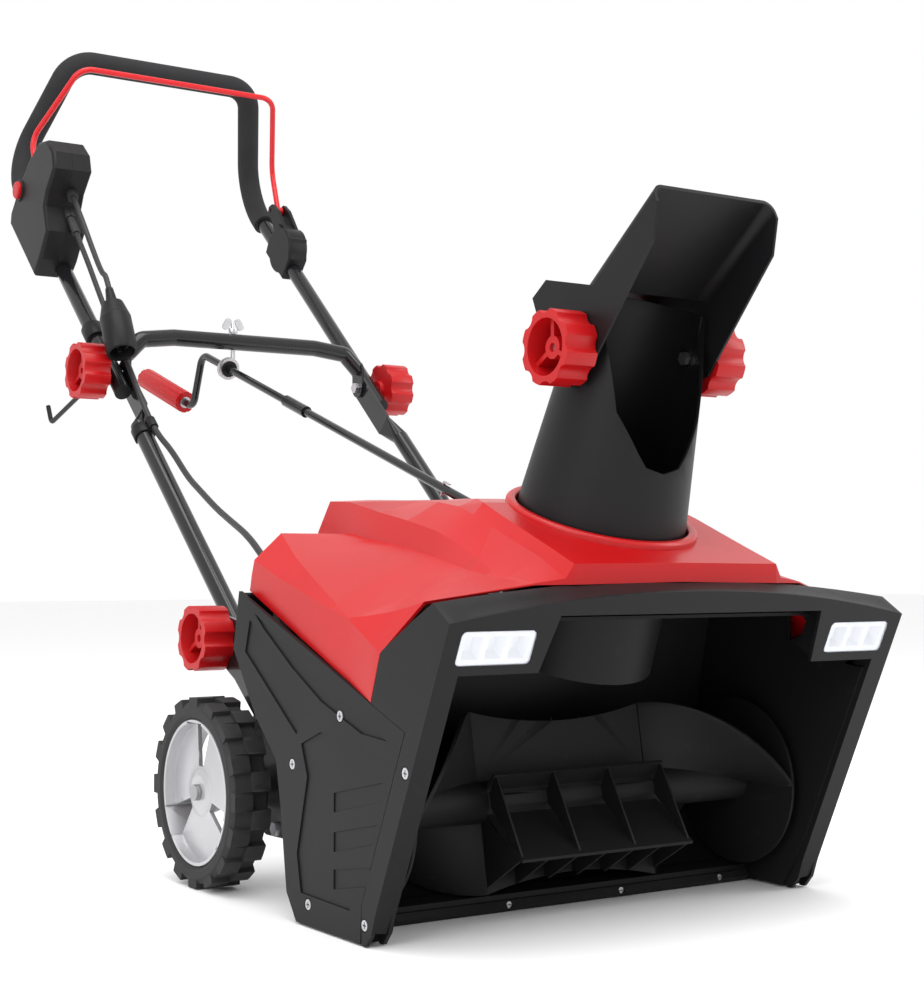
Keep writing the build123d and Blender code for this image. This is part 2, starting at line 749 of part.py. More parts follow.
with BuildPart() as top_hood:
    add(hood_outer)
    with BuildSketch(chute_plane(-26)):
        Circle(ring_outer)
    extrude(amount=25)
    with BuildPart(mode=Mode.SUBTRACT):
        add(hood_inner)
        with BuildSketch(chute_plane(-40)):
            Circle(ring_outer)
            Circle(ring_bore, mode=Mode.SUBTRACT)
        extrude(amount=60, mode=Mode.SUBTRACT)
    with BuildSketch(chute_plane(-60)):
        Circle(ring_bore)
    extrude(amount=80, mode=Mode.SUBTRACT)
    # The collar's inner sleeve stops above the chute's flange
    with BuildSketch(chute_plane(-70)):
        Circle(ring_outer + 8)
    extrude(amount=44, mode=Mode.SUBTRACT)
    # Everything in front of the bezel seam and below the side seams
    with BuildSketch(side_plane(-300)):
        Polygon(*hood_front, (-153, 500), (-400, 500), (-400, 0), (-76, 0), align=None)
        Polygon((-120, cover_top(-120) + seam_gap), (184, cover_top(184) + seam_gap),
                (184, 0), (-120, 0), align=None)
        Polygon((183.9, cover_top(184) + seam_gap), (400, cover_top(184) + seam_gap), (400, 0),
                (183.9, 0), align=None)
    extrude(amount=600, mode=Mode.SUBTRACT)
    # Slot for the crank rod
    with BuildSketch(Plane.XY.offset(370)):
        with Locations((-7, 164)):
            SlotOverall(74, 22, rotation=90)
    extrude(amount=80, mode=Mode.SUBTRACT)
    # Cable entry at the rear left
    with BuildSketch(Plane(origin=(-232, 230, 340), z_dir=(0, -1, 0))):
        Circle(cord_radius + 1.2)
    extrude(amount=90, mode=Mode.SUBTRACT)
    # Bearing for the crank rod, moulded under the roof behind the pinion
    with BuildPart(mode=Mode.PRIVATE) as bearing:
        with BuildSketch(rod_plane(112)):
            Circle(rod_radius + 6)
            with Locations((0, -20)):
                Rectangle(2 * rod_radius + 12, 40)
        extrude(amount=16)
        with BuildSketch(Plane.XY.offset(407)):
            Rectangle(4000, 4000)
        extrude(amount=100, mode=Mode.SUBTRACT)
    add(bearing.part)
    with BuildSketch(rod_plane(100)):
        Circle(rod_radius + run_fit)
    extrude(amount=60, mode=Mode.SUBTRACT)
write(top_hood, "top_hood")

# ---- rear pan -----------------------------------------------------------------------
pan_front = 95.6
tub_half, wing_half = 150.0, 211.0

with BuildPart() as rear_pan:
    def pan_solid(inset, front):
        with BuildPart() as solid:
            with BuildSketch(side_plane(-tub_half + inset)):
                Polygon((front, 98 + inset), (150 - inset * 0.3, 102 + inset),
                        (229 - inset, 165 + inset * 0.5), (229 - inset, 306 + inset * 30),
                        (front, 306 + inset * 30), align=None)
            extrude(amount=2 * (tub_half - inset))
            with BuildSketch(side_plane(-wing_half + inset)):
                Polygon((front, 141 + inset), (103 - inset * 0.4, 153 + inset),
                        (144 - inset * 0.8, 190 + inset * 0.7),
                        (180 - inset, 255 + inset * 0.3), (180 - inset, 306 + inset * 30),
                        (front, 306 + inset * 30), align=None)
            extrude(amount=2 * (wing_half - inset))
        return solid.part

    add(pan_solid(0, pan_front))
    add(pan_solid(shell_wall, pan_front - 30), mode=Mode.SUBTRACT)
    # Room for the motor in the left side wall
    with BuildSketch(side_plane(-wing_half - 1)):
        with Locations((motor_y, motor_z)):
            Circle(motor_radius + 2)
    extrude(amount=8, mode=Mode.SUBTRACT)
    # Cooling slots low in the rear wall
    with BuildSketch(Plane(origin=(0, 300, 0), x_dir=(1, 0, 0), z_dir=(0, -1, 0))):
        with GridLocations(22, 1, 9, 1):
            with Locations((0, 235)):
                SlotOverall(60, 7, rotation=90)
    extrude(amount=90, mode=Mode.SUBTRACT)
write(rear_pan, "rear_pan")

# ---- frame, axle and wheels ---------------------------------------------------------
arm_inner, arm_outer = 213.0, 217.0
lower_knob_y, lower_knob_z = 334.0, 259.0
arm_outline = [(96, 60), (225, 58), (300, 85), (305, 110), (290, 130), (255, 180), (300, 215),
               (350, 240), (356, 268), (330, 285), (200, 262), (150, 185), (108, 145)]
arm_screw_y, arm_screw_z = 200.0, 67.0

with BuildPart() as frame_arms:
    for side in (-1, 1):
        with BuildSketch(side_plane(side * arm_inner)):
            Polygon(*arm_outline, align=None)
            with Locations((wheel_y, wheel_radius)):
                Circle(axle_radius + 0.02, mode=Mode.SUBTRACT)
            with Locations((lower_knob_y, lower_knob_z)):
                Circle(bolt_radius + 0.02, mode=Mode.SUBTRACT)
            with Locations((arm_screw_y, arm_screw_z)):
                Circle(4.02, mode=Mode.SUBTRACT)
        extrude(amount=side * (arm_outer - arm_inner))
        # Folded foot under the tub, joining the two plates
        with BuildSketch(Plane(origin=(0, 210, 0), x_dir=(1, 0, 0), z_dir=(0, -1, 0))):
            with Locations((side * arm_inner / 2, 60)):
                Rectangle(arm_inner, 3)
        extrude(amount=60)
write(frame_arms, "frame_arms")

hub_half = 20.0
hub_face = 14.5              # outer face of the hub, from the middle of the wheel
wheel_inner = wheel_outer - wheel_width

with BuildPart() as wheel_axle:
    with BuildSketch(side_plane(-wheel_outer + 6)):
        with Locations((wheel_y, wheel_radius)):
            Circle(axle_radius)
    extrude(amount=2 * wheel_outer - 12)    # ends under the cap nuts
    for side in (-1, 1):
        # Spacer between the arm and the wheel, and a cap nut outside
        for x0, depth, radius in ((arm_outer + 0.2, 15.2, 10),
                                  (wheel_outer - wheel_width / 2 + hub_face + 0.4, 5, 8.5)):
            with BuildSketch(side_plane(side * x0)):
                with Locations((wheel_y, wheel_radius)):
                    Circle(radius)
            extrude(amount=side * depth)
write(wheel_axle, "wheel_axle")

lug_count = 16


def tyre(side):
    """Rubber tyre with a raised, chunky tread."""
    with BuildPart() as ring:
        with BuildSketch(Plane(origin=(side * (wheel_outer - wheel_width / 2), wheel_y,
                                       wheel_radius), x_dir=(0, 0, 1), z_dir=(0, 1, 0))):
            half = wheel_width / 2
            Polygon((rim_radius + 0.0, 4 - half), (rim_radius + 5, -half),
                    (wheel_radius - 11, -half), (wheel_radius - 5, 4 - half),
                    (wheel_radius - 5, half - 4), (wheel_radius - 11, half),
                    (rim_radius + 5, half), (rim_radius, half - 4), align=None)
        revolve(axis=Axis((0, wheel_y, wheel_radius), (1, 0, 0)))
        for row in (-1, 1):
            with BuildSketch(side_plane(side * wheel_outer - side * wheel_width / 2)):
                with Locations((wheel_y, wheel_radius)):
                    with PolarLocations(wheel_radius - 5.6, lug_count,
                                        start_angle=(0 if row < 0 else 180 / lug_count)):
                        Rectangle(10.9, 20)
                    Circle(wheel_radius, mode=Mode.INTERSECT)
            extrude(amount=row * (wheel_width / 2 - 0.8))
    return ring


left_tyre = tyre(-1)
write(left_tyre, "left_tyre")
right_tyre = tyre(1)
write(right_tyre, "right_tyre")


def rim(side):
    """Dished rim with three windows and a hub."""
    middle = side * (wheel_outer - wheel_width / 2)
    with BuildPart() as dish:
        with BuildSketch(Plane(origin=(middle, wheel_y, wheel_radius), x_dir=(0, 0, 1),
                               z_dir=(0, 1, 0))):
            # Drawn as (radius, x): a barrel, a dished web and a hub
            half = wheel_width / 2 - 2
            hub = hub_half - 0.8
            web = side * 5
            Polygon((rim_radius - 0.3, -half), (rim_radius - 0.3, half), (rim_radius - 4, half),
                    (rim_radius - 4, -half), align=None)
            Polygon((rim_radius - 3, web - 2.5), (rim_radius - 3, web + 2.5),
                    (24, web + side * 4 + 2.5), (24, web + side * 4 - 2.5), align=None)
            Polygon(*[(r, side * x) for r, x in (
                (axle_radius + run_fit, -hub), (axle_radius + run_fit, hub_face), (18, hub_face),
                (25, 12), (25, 6), (18, -hub))], align=None)
        revolve(axis=Axis((0, wheel_y, wheel_radius), (1, 0, 0)))
        with BuildSketch(side_plane(middle - 30)):
            with Locations((wheel_y, wheel_radius)):
                with PolarLocations(50, 3, start_angle=90):
                    Trapezoid(34, 46, 76, rotation=90)
        extrude(amount=60, mode=Mode.SUBTRACT)
    return dish


left_rim = rim(-1)
write(left_rim, "left_rim")
right_rim = rim(1)
write(right_rim, "right_rim")

# ---- handle -------------------------------------------------------------------------
def swept(points, radii, outer, inner=0.0):
    """A tube or wire along straight runs joined by round bends."""
    with BuildLine(mode=Mode.PRIVATE) as path:
        FilletPolyline(*points, radius=radii)
    with BuildSketch(Plane(origin=path.line @ 0, z_dir=path.line % 0),
                     mode=Mode.PRIVATE) as section:
        Circle(outer)
        if inner:
            Circle(inner, mode=Mode.SUBTRACT)
    sweep(section.sketch, path=path.line)


flat_inner, flat_outer = 175.6, 179.4     # the pressed-flat top ends of the lower tubes
flat_start, flat_end = -85.0, 15.0
tube_bottom = -515.0

with BuildPart() as lower_tubes:
    for side in (-1, 1):
        rod(on_tube(tube_bottom, side * tube_half_spacing),
            on_tube(flat_start - 27, side * tube_half_spacing), tube_radius)
        with BuildSketch(Plane(origin=on_tube(tube_bottom - 1, side * tube_half_spacing),
                               z_dir=tube_dir)):
            Circle(tube_radius - tube_wall)
        extrude(amount=flat_start - 27 - tube_bottom - 4, mode=Mode.SUBTRACT)
        round_end = Plane(origin=on_tube(flat_start - 27.05, side * tube_half_spacing),
                          x_dir=(1, 0, 0), z_dir=tube_dir)
        flat_middle = side * (flat_inner + flat_outer) / 2
        flat_plane = Plane(origin=on_tube(flat_start, flat_middle), x_dir=(1, 0, 0),
                           z_dir=tube_dir)
        with BuildSketch(round_end, mode=Mode.PRIVATE) as round_face:
            RectangleRounded(2 * tube_radius, 2 * tube_radius, tube_radius - 0.1)
        with BuildSketch(flat_plane, mode=Mode.PRIVATE) as flat_face:
            RectangleRounded(flat_outer - flat_inner, 31, (flat_outer - flat_inner) / 2 - 0.1)
        loft([round_face.sketch, flat_face.sketch])
        with BuildSketch(side_plane(side * flat_inner)):
            with Locations(Location((on_tube((flat_start + flat_end) / 2).Y,
                                     on_tube((flat_start + flat_end) / 2).Z), 90 - tube_lean)):
                RectangleRounded(flat_end - flat_start + 0.2, 31, 12)
                with Locations((-20, 0)):
                    Rectangle(flat_end - flat_start - 39.8, 31)
        extrude(amount=side * (flat_outer - flat_inner))
        with BuildSketch(side_plane(side * 160)):
            with Locations((hinge_y, hinge_z), (lower_knob_y, lower_knob_z)):
                Circle(bolt_radius + 0.02)
        extrude(amount=side * 60, mode=Mode.SUBTRACT)
write(lower_tubes, "lower_tubes")

upper_start = -40.0
bend_t = 506.0                            # where the handle bends up to the grip
corner_point = Vector(141, 985, 1067)


def handle_points(x_sign):
    """Upper handle, from one lower end to the middle of the grip."""
    return [on_tube(upper_start, x_sign * tube_half_spacing),
            on_tube(bend_t, x_sign * tube_half_spacing),
            Vector(x_sign * corner_point.X, corner_point.Y, corner_point.Z)]


handle_line = handle_points(-1) + list(reversed(handle_points(1)))
handle_bends = (70, 42, 42, 70)

with BuildPart() as upper_handle_tube:
    swept(handle_line, handle_bends, tube_radius, tube_radius - tube_wall)
    with BuildSketch(side_plane(-250)):
        with Locations((hinge_y, hinge_z)):
            Circle(bolt_radius + run_fit)
    extrude(amount=500, mode=Mode.SUBTRACT)
write(upper_handle_tube, "upper_handle_tube")

with BuildPart() as foam_grip:
    # Foam sleeve over the bent part of the handle
    grip_line = [on_tube(430, -tube_half_spacing)] + handle_line[1:-1] + [
        on_tube(430, tube_half_spacing)]
    swept(grip_line, handle_bends, grip_radius, tube_radius + 0.02)
write(foam_grip, "foam_grip")

with BuildPart() as tube_end_plugs:
    for side in (-1, 1):
        rod(on_tube(upper_start - 3, side * tube_half_spacing),
            on_tube(upper_start - 0.05, side * tube_half_spacing), tube_radius)
        rod(on_tube(upper_start - 0.1, side * tube_half_spacing),
            on_tube(upper_start + 14, side * tube_half_spacing), tube_radius - tube_wall - 0.02)
write(tube_end_plugs, "tube_end_plugs")

with BuildPart() as crossbar:
    half_line = [Vector(-173, 706, 611), Vector(-152, 707, 632), Vector(-105, 710, 638)]
    other_half = [Vector(-p.X, p.Y, p.Z) for p in reversed(half_line)]
    swept(half_line + other_half, (12, 30, 30, 12), tube_radius)
    for side in (-1, 1):
        with BuildSketch(side_plane(side * (flat_inner - 4.0))):
            with Locations((705.5, 598)):
                SlotOverall(50, 26, rotation=90)
            with Locations((hinge_y, hinge_z)):
                Circle(bolt_radius + 0.02, mode=Mode.SUBTRACT)
        extrude(amount=side * 3.8)
        with BuildSketch(side_plane(side * (flat_inner - 0.2))):
            Rectangle(4000, 4000)
        extrude(amount=side * 40, mode=Mode.SUBTRACT)
    with BuildSketch(Plane.XY.offset(600)):
        with Locations((-18, 711.5)):
            Circle(3.02)
    extrude(amount=80, mode=Mode.SUBTRACT)
write(crossbar, "crossbar")

knob_inner = 208.0
lower_knob_inner = arm_outer + 0.5
deflector_knob_inner = 74.0
knob_boss = 12.0


def star_knob(x, y, z, side, boss):
    """Hand knob: eight lobes, a deep recess with three spokes, and a boss inward."""
    inner, outer = side * x, side * (x + knob_depth)
    with BuildPart() as knob:
        with BuildSketch(side_plane(inner)):
            with Locations((y, z)):
                Circle(knob_radius)
                with PolarLocations(knob_radius + 7, 8):
                    Circle(11, mode=Mode.SUBTRACT)
        extrude(amount=outer - inner)
        with BuildSketch(side_plane(outer)):
            with Locations((y, z)):
                Circle(knob_radius - 9)
                Circle(11, mode=Mode.SUBTRACT)
                with PolarLocations((knob_radius - 9) / 2, 3, start_angle=90):
                    Rectangle(knob_radius, 5, mode=Mode.SUBTRACT)
        extrude(amount=-side * (knob_depth - 6), mode=Mode.SUBTRACT)
        # The spokes and the boss sit below the rim
        with BuildSketch(side_plane(outer)):
            with Locations((y, z)):
                Circle(knob_radius - 9)
        extrude(amount=-side * 9, mode=Mode.SUBTRACT)
        if boss:
            with BuildSketch(side_plane(inner)):
                with Locations((y, z)):
                    Circle(knob_boss)
            extrude(amount=-side * boss)
        with BuildSketch(side_plane(side * (x - 30))):
            with Locations((y, z)):
                Circle(bolt_radius + run_fit)
        extrude(amount=side * 90, mode=Mode.SUBTRACT)
    return knob


left_upper_knob = star_knob(knob_inner, hinge_y, hinge_z, -1, 5.5)
write(left_upper_knob, "left_upper_knob")
right_upper_knob = star_knob(knob_inner, hinge_y, hinge_z, 1, 5.5)
write(right_upper_knob, "right_upper_knob")
left_lower_knob = star_knob(lower_knob_inner, lower_knob_y, lower_knob_z, -1, 0)
write(left_lower_knob, "left_lower_knob")
right_lower_knob = star_knob(lower_knob_inner, lower_knob_y, lower_knob_z, 1, 0)
write(right_lower_knob, "right_lower_knob")

with BuildPart() as handle_bolts:
    # Bolts of the four handle knobs, heads inward, ends inside the knobs' recesses
    for side in (-1, 1):
        for y, z, head, end in ((hinge_y, hinge_z, flat_inner - 4.2, knob_inner + 22),
                                (lower_knob_y, lower_knob_z,
                                 tube_half_spacing - tube_radius - 0.2,
                                 lower_knob_inner + 22)):
            with BuildSketch(side_plane(side * (head - 5.5))):
                with Locations((y, z)):
                    RegularPolygon(7.5, 6)
            extrude(amount=side * 5.5)
            with BuildSketch(side_plane(side * (head - 0.1))):
                with Locations((y, z)):
                    Circle(bolt_radius)
            extrude(amount=side * (end - head))
        # Distance sleeve between the lower tube and the frame arm
        with BuildSketch(side_plane(side * (tube_half_spacing + tube_radius + 0.2))):
            with Locations((lower_knob_y, lower_knob_z)):
                Circle(8)
        extrude(amount=side * (arm_inner - tube_half_spacing - tube_radius - 0.4))
write(handle_bolts, "handle_bolts")


# ---- switch box, bail and cords on the handle ---------------------------------------
def tube_sketch(x):
    """Plane across the machine, drawn along the tube and in front of it."""
    return Plane(origin=on_tube(0, x), x_dir=tube_dir, z_dir=(1, 0, 0))


side_turn = 1 if tube_sketch(0).y_dir.dot(tube_front) > 0 else -1


def facing(points):
    """Points given along the tube and in front of it, for a sketch on tube_sketch."""
    return [(t, f * side_turn) for t, f in points]


pivot_t, pivot_f = 407.6, 39.0          # the bail's pivot
box_inner, box_seam, box_outer = 176.0, 203.0, 230.0
box_outline = [(238, 60), (236, 16), (240, -14), (370, -14), (378, 0), (376, 34), (366, 92),
               (349, 131), (324, 149), (294, 150), (273, 136), (276, 98), (271, 78)]
lug_outline = [(360, 20), (396, 29), (413, 30), (417, 39), (411, 48), (396, 52), (360, 80)]


def handle_bore(x):
    """Room for the handle tube inside a moulding."""
    rod(on_tube(200, x), on_tube(440, x), tube_radius + 0.02)


with BuildPart() as bore_left:
    handle_bore(-tube_half_spacing)
with BuildPart() as bore_right:
    handle_bore(tube_half_spacing)

with BuildPart() as switch_box_inner:
    with BuildSketch(tube_sketch(-box_seam + 0.1)):
        Polygon(*facing(box_outline), align=None)
    extrude(amount=box_seam - box_inner - 0.1)
    fillet(switch_box_inner.faces().sort_by(Axis.X)[-1].edges(), 3)
    with BuildSketch(tube_sketch(-186)):
        Polygon(*facing(lug_outline), align=None)
    extrude(amount=5.5)
    add(bore_left.part, mode=Mode.SUBTRACT)
    with BuildSketch(tube_sketch(-box_seam + 0.1)):
        with Locations(facing([(313, 84)])[0]):
            RectangleRounded(62, 66, 8)
    extrude(amount=20, mode=Mode.SUBTRACT)
    with BuildSketch(tube_sketch(-220)):
        with Locations(facing([(pivot_t, pivot_f)])[0]):
            Circle(3 + run_fit)
    extrude(amount=60, mode=Mode.SUBTRACT)
write(switch_box_inner, "switch_box_inner")

button_t, button_f = 372.0 - 22, 60.0
button_point = Vector(-box_outer, 951, 861)
button_t = (button_point.Y - hinge_y) * sin(lean) + (button_point.Z - hinge_z) * cos(lean)
button_f = -(button_point.Y - hinge_y) * cos(lean) + (button_point.Z - hinge_z) * sin(lean)
button_radius = 12.0
button_travel = 4.0

with BuildPart() as switch_box_outer:
    with BuildSketch(tube_sketch(-box_seam - 0.1)):
        Polygon(*facing(box_outline), align=None)
    extrude(amount=-(box_outer - box_seam - 0.1))
    fillet(switch_box_outer.faces().sort_by(Axis.X)[0].edges(), 5)
    with BuildSketch(tube_sketch(-box_seam - 1)):
        Polygon(*facing(lug_outline), align=None)
    extrude(amount=-6)
    with BuildSketch(tube_sketch(-box_seam)):
        with Locations(facing([(313, 84)])[0]):
            RectangleRounded(62, 66, 8)
    extrude(amount=-23, mode=Mode.SUBTRACT)
    # Well of the lock-off button, with a collar round it
    with BuildSketch(tube_sketch(-box_outer)):
        with Locations(facing([(button_t, button_f)])[0]):
            Circle(button_radius + 3)
    extrude(amount=-2)
    with BuildSketch(tube_sketch(-box_seam)):
        with Locations(facing([(button_t, button_f)])[0]):
            Circle(button_radius + slip)
    extrude(amount=-40, mode=Mode.SUBTRACT)
    with BuildSketch(tube_sketch(-220)):
        with Locations(facing([(pivot_t, pivot_f)])[0]):
            Circle(3 + run_fit)
    extrude(amount=60, mode=Mode.SUBTRACT)
write(switch_box_outer, "switch_box_outer")

with BuildPart() as switch_block:
    with BuildSketch(tube_sketch(-224)):
        with Locations(facing([(313, 84)])[0]):
            RectangleRounded(56, 60, 5)
    extrude(amount=36)
write(switch_block, "switch_block")

with BuildPart() as lockout_button:
    with BuildSketch(tube_sketch(-box_outer + 16)):
        with Locations(facing([(button_t, button_f)])[0]):
            Circle(button_radius)
    extrude(amount=-23)
    fillet(lockout_button.faces().sort_by(Axis.X)[0].edges(), 2.5)
write(lockout_button, "lockout_button")

with BuildPart() as bail_bracket:
    # Two-sided clamp round the right tube, with an arm for the bail's pivot
    with BuildSketch(tube_sketch(box_inner)):
        with Locations(facing([(336, 12)])[0]):
            Circle(34)
        Polygon(*facing([(300, -16), (372, -16), (378, 10), (366, 40), (320, 44), (300, 20)]),
                align=None)
    extrude(amount=30)
    fillet(bail_bracket.edges().filter_by_position(Axis.X, box_inner - 0.1, box_inner + 0.1), 3)
    for x0, depth in ((180.5, 5.5), (200.0, 5.5)):
        with BuildSketch(tube_sketch(x0)):
            Polygon(*facing([(345, 6), (396, 29), (413, 30), (417, 39), (411, 48), (392, 50),
                             (345, 40)]), align=None)
        extrude(amount=depth)
    add(bore_right.part, mode=Mode.SUBTRACT)
    with BuildSketch(tube_sketch(160)):
        with Locations(facing([(pivot_t, pivot_f)])[0]):
            Circle(3 + run_fit)
    extrude(amount=60, mode=Mode.SUBTRACT)
write(bail_bracket, "bail_bracket")

bail_radius = 4.0
bail_half = 193.0
with BuildPart() as bail_wire:
    pivot = on_tube(pivot_t, bail_half, pivot_f)
    side_line = [pivot, Vector(bail_half, 1006, 950), Vector(152, 925, 1040)]
    mirrored = [Vector(-p.X, p.Y, p.Z) for p in side_line]
    swept(mirrored + list(reversed(side_line)), (30, 26, 26, 30), bail_radius)
    for side in (-1, 1):
        with BuildSketch(tube_sketch(side * bail_half - 5.5)):
            with Locations(facing([(pivot_t, pivot_f)])[0]):
                Circle(6.5)
        extrude(amount=11)
        with BuildSketch(tube_sketch(side * bail_half - 10.5)):
            with Locations(facing([(pivot_t, pivot_f)])[0]):
                Circle(3)
        extrude(amount=21)
write(bail_wire, "bail_wire")

# ---- chute --------------------------------------------------------------------------
rz_plane = Plane(origin=chute_base, x_dir=chute_rear, z_dir=(1, 0, 0))

# The rod passes a little to the left of the middle, so the gap it meets is turned too
pinion_turn = degrees(atan2(-on_rod(crown_radius).X, crown_radius))

with BuildPart() as chute_tube:
    with BuildSketch(rz_plane):
        Polygon((chute_radius, 0), (chute_top_radius, chute_height),
                (chute_top_radius - chute_wall, chute_height), (chute_radius - chute_wall, 0),
                (chute_radius - chute_wall, flange_bottom), (flange_radius, flange_bottom),
                (flange_radius, flange_bottom + 4), (chute_radius, flange_bottom + 6),
                align=None)
    revolve(axis=Axis(chute_base, chute_axis))
    # Crown of teeth under the flange, a gap facing the pinion
    with BuildSketch(chute_plane(flange_bottom)):
        with PolarLocations(crown_radius, crown_teeth, 
                            start_angle=90 + pinion_turn + 180 / crown_teeth):
            Rectangle(10, 4.3)
    extrude(amount=-tooth_depth, taper=13)
    # Mouth: the front is open above a rounded sill
    with BuildSketch(Plane(origin=chute_base - chute_rear * 15, x_dir=(1, 0, 0),
                           z_dir=-chute_rear)):
        Polygon((-29, 78), (-20, 66), (0, 61), (20, 66), (29, 78), (50, 112), (57, 155),
                (59.5, 172), (58, 240), (-58, 240), (-59.5, 172), (-57, 155), (-50, 112),
                align=None)
    extrude(amount=140, mode=Mode.SUBTRACT)
    with BuildSketch(Plane(origin=on_chute(pivot_height, 0, -120), x_dir=(0, 1, 0),
                           z_dir=(1, 0, 0))):
        Circle(bolt_radius + 0.02)
    extrude(amount=240, mode=Mode.SUBTRACT)
write(chute_tube, "chute_tube")

pivot = on_chute(pivot_height)
pivot_wall = chute_radius - chute_taper * pivot_height   # outside of the tube there
cheek_inner, cheek_outer = 70.5, 73.1

with BuildPart() as deflector_bolts:
    for side in (-1, 1):
        with BuildSketch(Plane(origin=(side * (pivot_wall - chute_wall - 5.5), pivot.Y, pivot.Z),
                               x_dir=(0, 1, 0), z_dir=(side, 0, 0))):
            RegularPolygon(7, 6)
        extrude(amount=4.5)
        with BuildSketch(Plane(origin=(side * (pivot_wall - chute_wall - 1.5), pivot.Y, pivot.Z),
                               x_dir=(0, 1, 0), z_dir=(side, 0, 0))):
            Circle(bolt_radius)
        extrude(amount=deflector_knob_inner + 22 - pivot_wall + chute_wall + 1.5)
write(deflector_bolts, "deflector_bolts")

# Deflector in side view: its outside, and the channel inside it
deflector_side = [(-98, 513), (-141, 522), (-231, 626), (-237, 660), (-229, 677), (-131, 600),
                  (-72, 612), (-50, 597), (-72, 545)]
deflector_channel = [(-254.6, 692.5), (-131.5, 596.5), (-73, 609), (-53.5, 596), (-55.2, 592),
                     (-30, 592), (-30, 490), (-330, 490), (-330, 692.5)]

shoulder_radius = 12.0       # outside, along both sides of the upper wall


def upper_wall_edges(part, half, y, z):
    """The two edges that run along the deflector's upper wall."""
    return [e for e in part.edges() if abs(abs(e.center().X) - half) < 0.1
            and (e.center() - Vector(e.center().X, y, z)).length < 3]


with BuildPart() as channel:
    with BuildSketch(side_plane(-cheek_inner)):
        Polygon(*deflector_channel, align=None)
    extrude(amount=2 * cheek_inner)
    fillet(upper_wall_edges(channel, cheek_inner, -193, 644.5),
           shoulder_radius - (cheek_outer - cheek_inner))

with BuildPart() as chute_deflector:
    with BuildSketch(side_plane(-cheek_outer)):
        Polygon(*deflector_side, align=None)
    extrude(amount=2 * cheek_outer)
    # Rounded shoulders along the upper wall
    fillet(upper_wall_edges(chute_deflector, cheek_outer, -180, 638.5), shoulder_radius)
    add(channel.part, mode=Mode.SUBTRACT)
    with BuildSketch(side_plane(-120)):
        with Locations((pivot.Y, pivot.Z)):
            Circle(bolt_radius + run_fit)
    extrude(amount=240, mode=Mode.SUBTRACT)
write(chute_deflector, "chute_deflector")

left_deflector_knob = star_knob(deflector_knob_inner, pivot.Y, pivot.Z, -1, 0)
write(left_deflector_knob, "left_deflector_knob")
right_deflector_knob = star_knob(deflector_knob_inner, pivot.Y, pivot.Z, 1, 0)
write(right_deflector_knob, "right_deflector_knob")

# ---- crank --------------------------------------------------------------------------
pinion_front, pinion_back = crown_radius - 5.5, crown_radius + 5.5

with BuildPart() as crank_pinion:
    with BuildSketch(rod_plane(pinion_front)):
        Circle(9.5)
    extrude(amount=pinion_back + 8 - pinion_front)
    # Straight-sided teeth, one of them pointing at the crown
    with BuildSketch(rod_plane(pinion_front)):
        with PolarLocations(0, pinion_teeth, start_angle=90):
            Polygon((9, -2.1), (pinion_radius + 1.8, -1.0), (pinion_radius + 1.8, 1.0), (9, 2.1),
                    align=None)
    extrude(amount=pinion_back - pinion_front)
    with BuildSketch(rod_plane(pinion_front - 1)):
        Circle(rod_radius + 0.02)
    extrude(amount=40, mode=Mode.SUBTRACT)
write(crank_pinion, "crank_pinion")

sleeve_start, sleeve_end = 584.0, 637.0
rod_split = 611.0

with BuildPart() as crank_lower_rod:
    rod(on_rod(pinion_front - 2), on_rod(rod_split - 0.5), rod_radius)
    # Formed socket that takes the upper rod
    with BuildSketch(rod_plane(sleeve_start)):
        Circle(rod_radius + 2.4)
    extrude(amount=sleeve_end - sleeve_start)
    with BuildSketch(rod_plane(rod_split - 0.5)):
        Circle(rod_radius + 0.02)
    extrude(amount=60, mode=Mode.SUBTRACT)
write(crank_lower_rod, "crank_lower_rod")

crank_bend = on_rod(882)
crank_elbow = crank_bend + Vector(0, 29, -71)
grip_start, grip_length, crank_grip_radius = 26.0, 132.0, 15.0
spindle_length = grip_start + grip_length + 4

with BuildPart() as crank_rod:
    swept([on_rod(rod_split), crank_bend, crank_elbow, crank_elbow + rod_dir * (grip_start - 1)],
          (16, 16 * 0.9), rod_radius)
    rod(crank_elbow + rod_dir * (grip_start - 2), crank_elbow + rod_dir * spindle_length, 4.0)
write(crank_rod, "crank_rod")

with BuildPart() as crank_grip:
    grip_plane = Plane(origin=crank_elbow + rod_dir * grip_start, x_dir=rod_plane_x,
                       z_dir=rod_dir)
    with BuildSketch(grip_plane):
        Circle(crank_grip_radius)
        with PolarLocations(crank_grip_radius + 1.2, 10):
            Circle(2, mode=Mode.SUBTRACT)
    extrude(amount=grip_length)
    with BuildSketch(grip_plane.offset(-5)):
        Circle(4.0 + run_fit)
    extrude(amount=grip_length + 10, mode=Mode.SUBTRACT)
    fillet(crank_grip.edges().group_by(Axis(crank_elbow, rod_dir))[-1], 1.5)
write(crank_grip, "crank_grip")

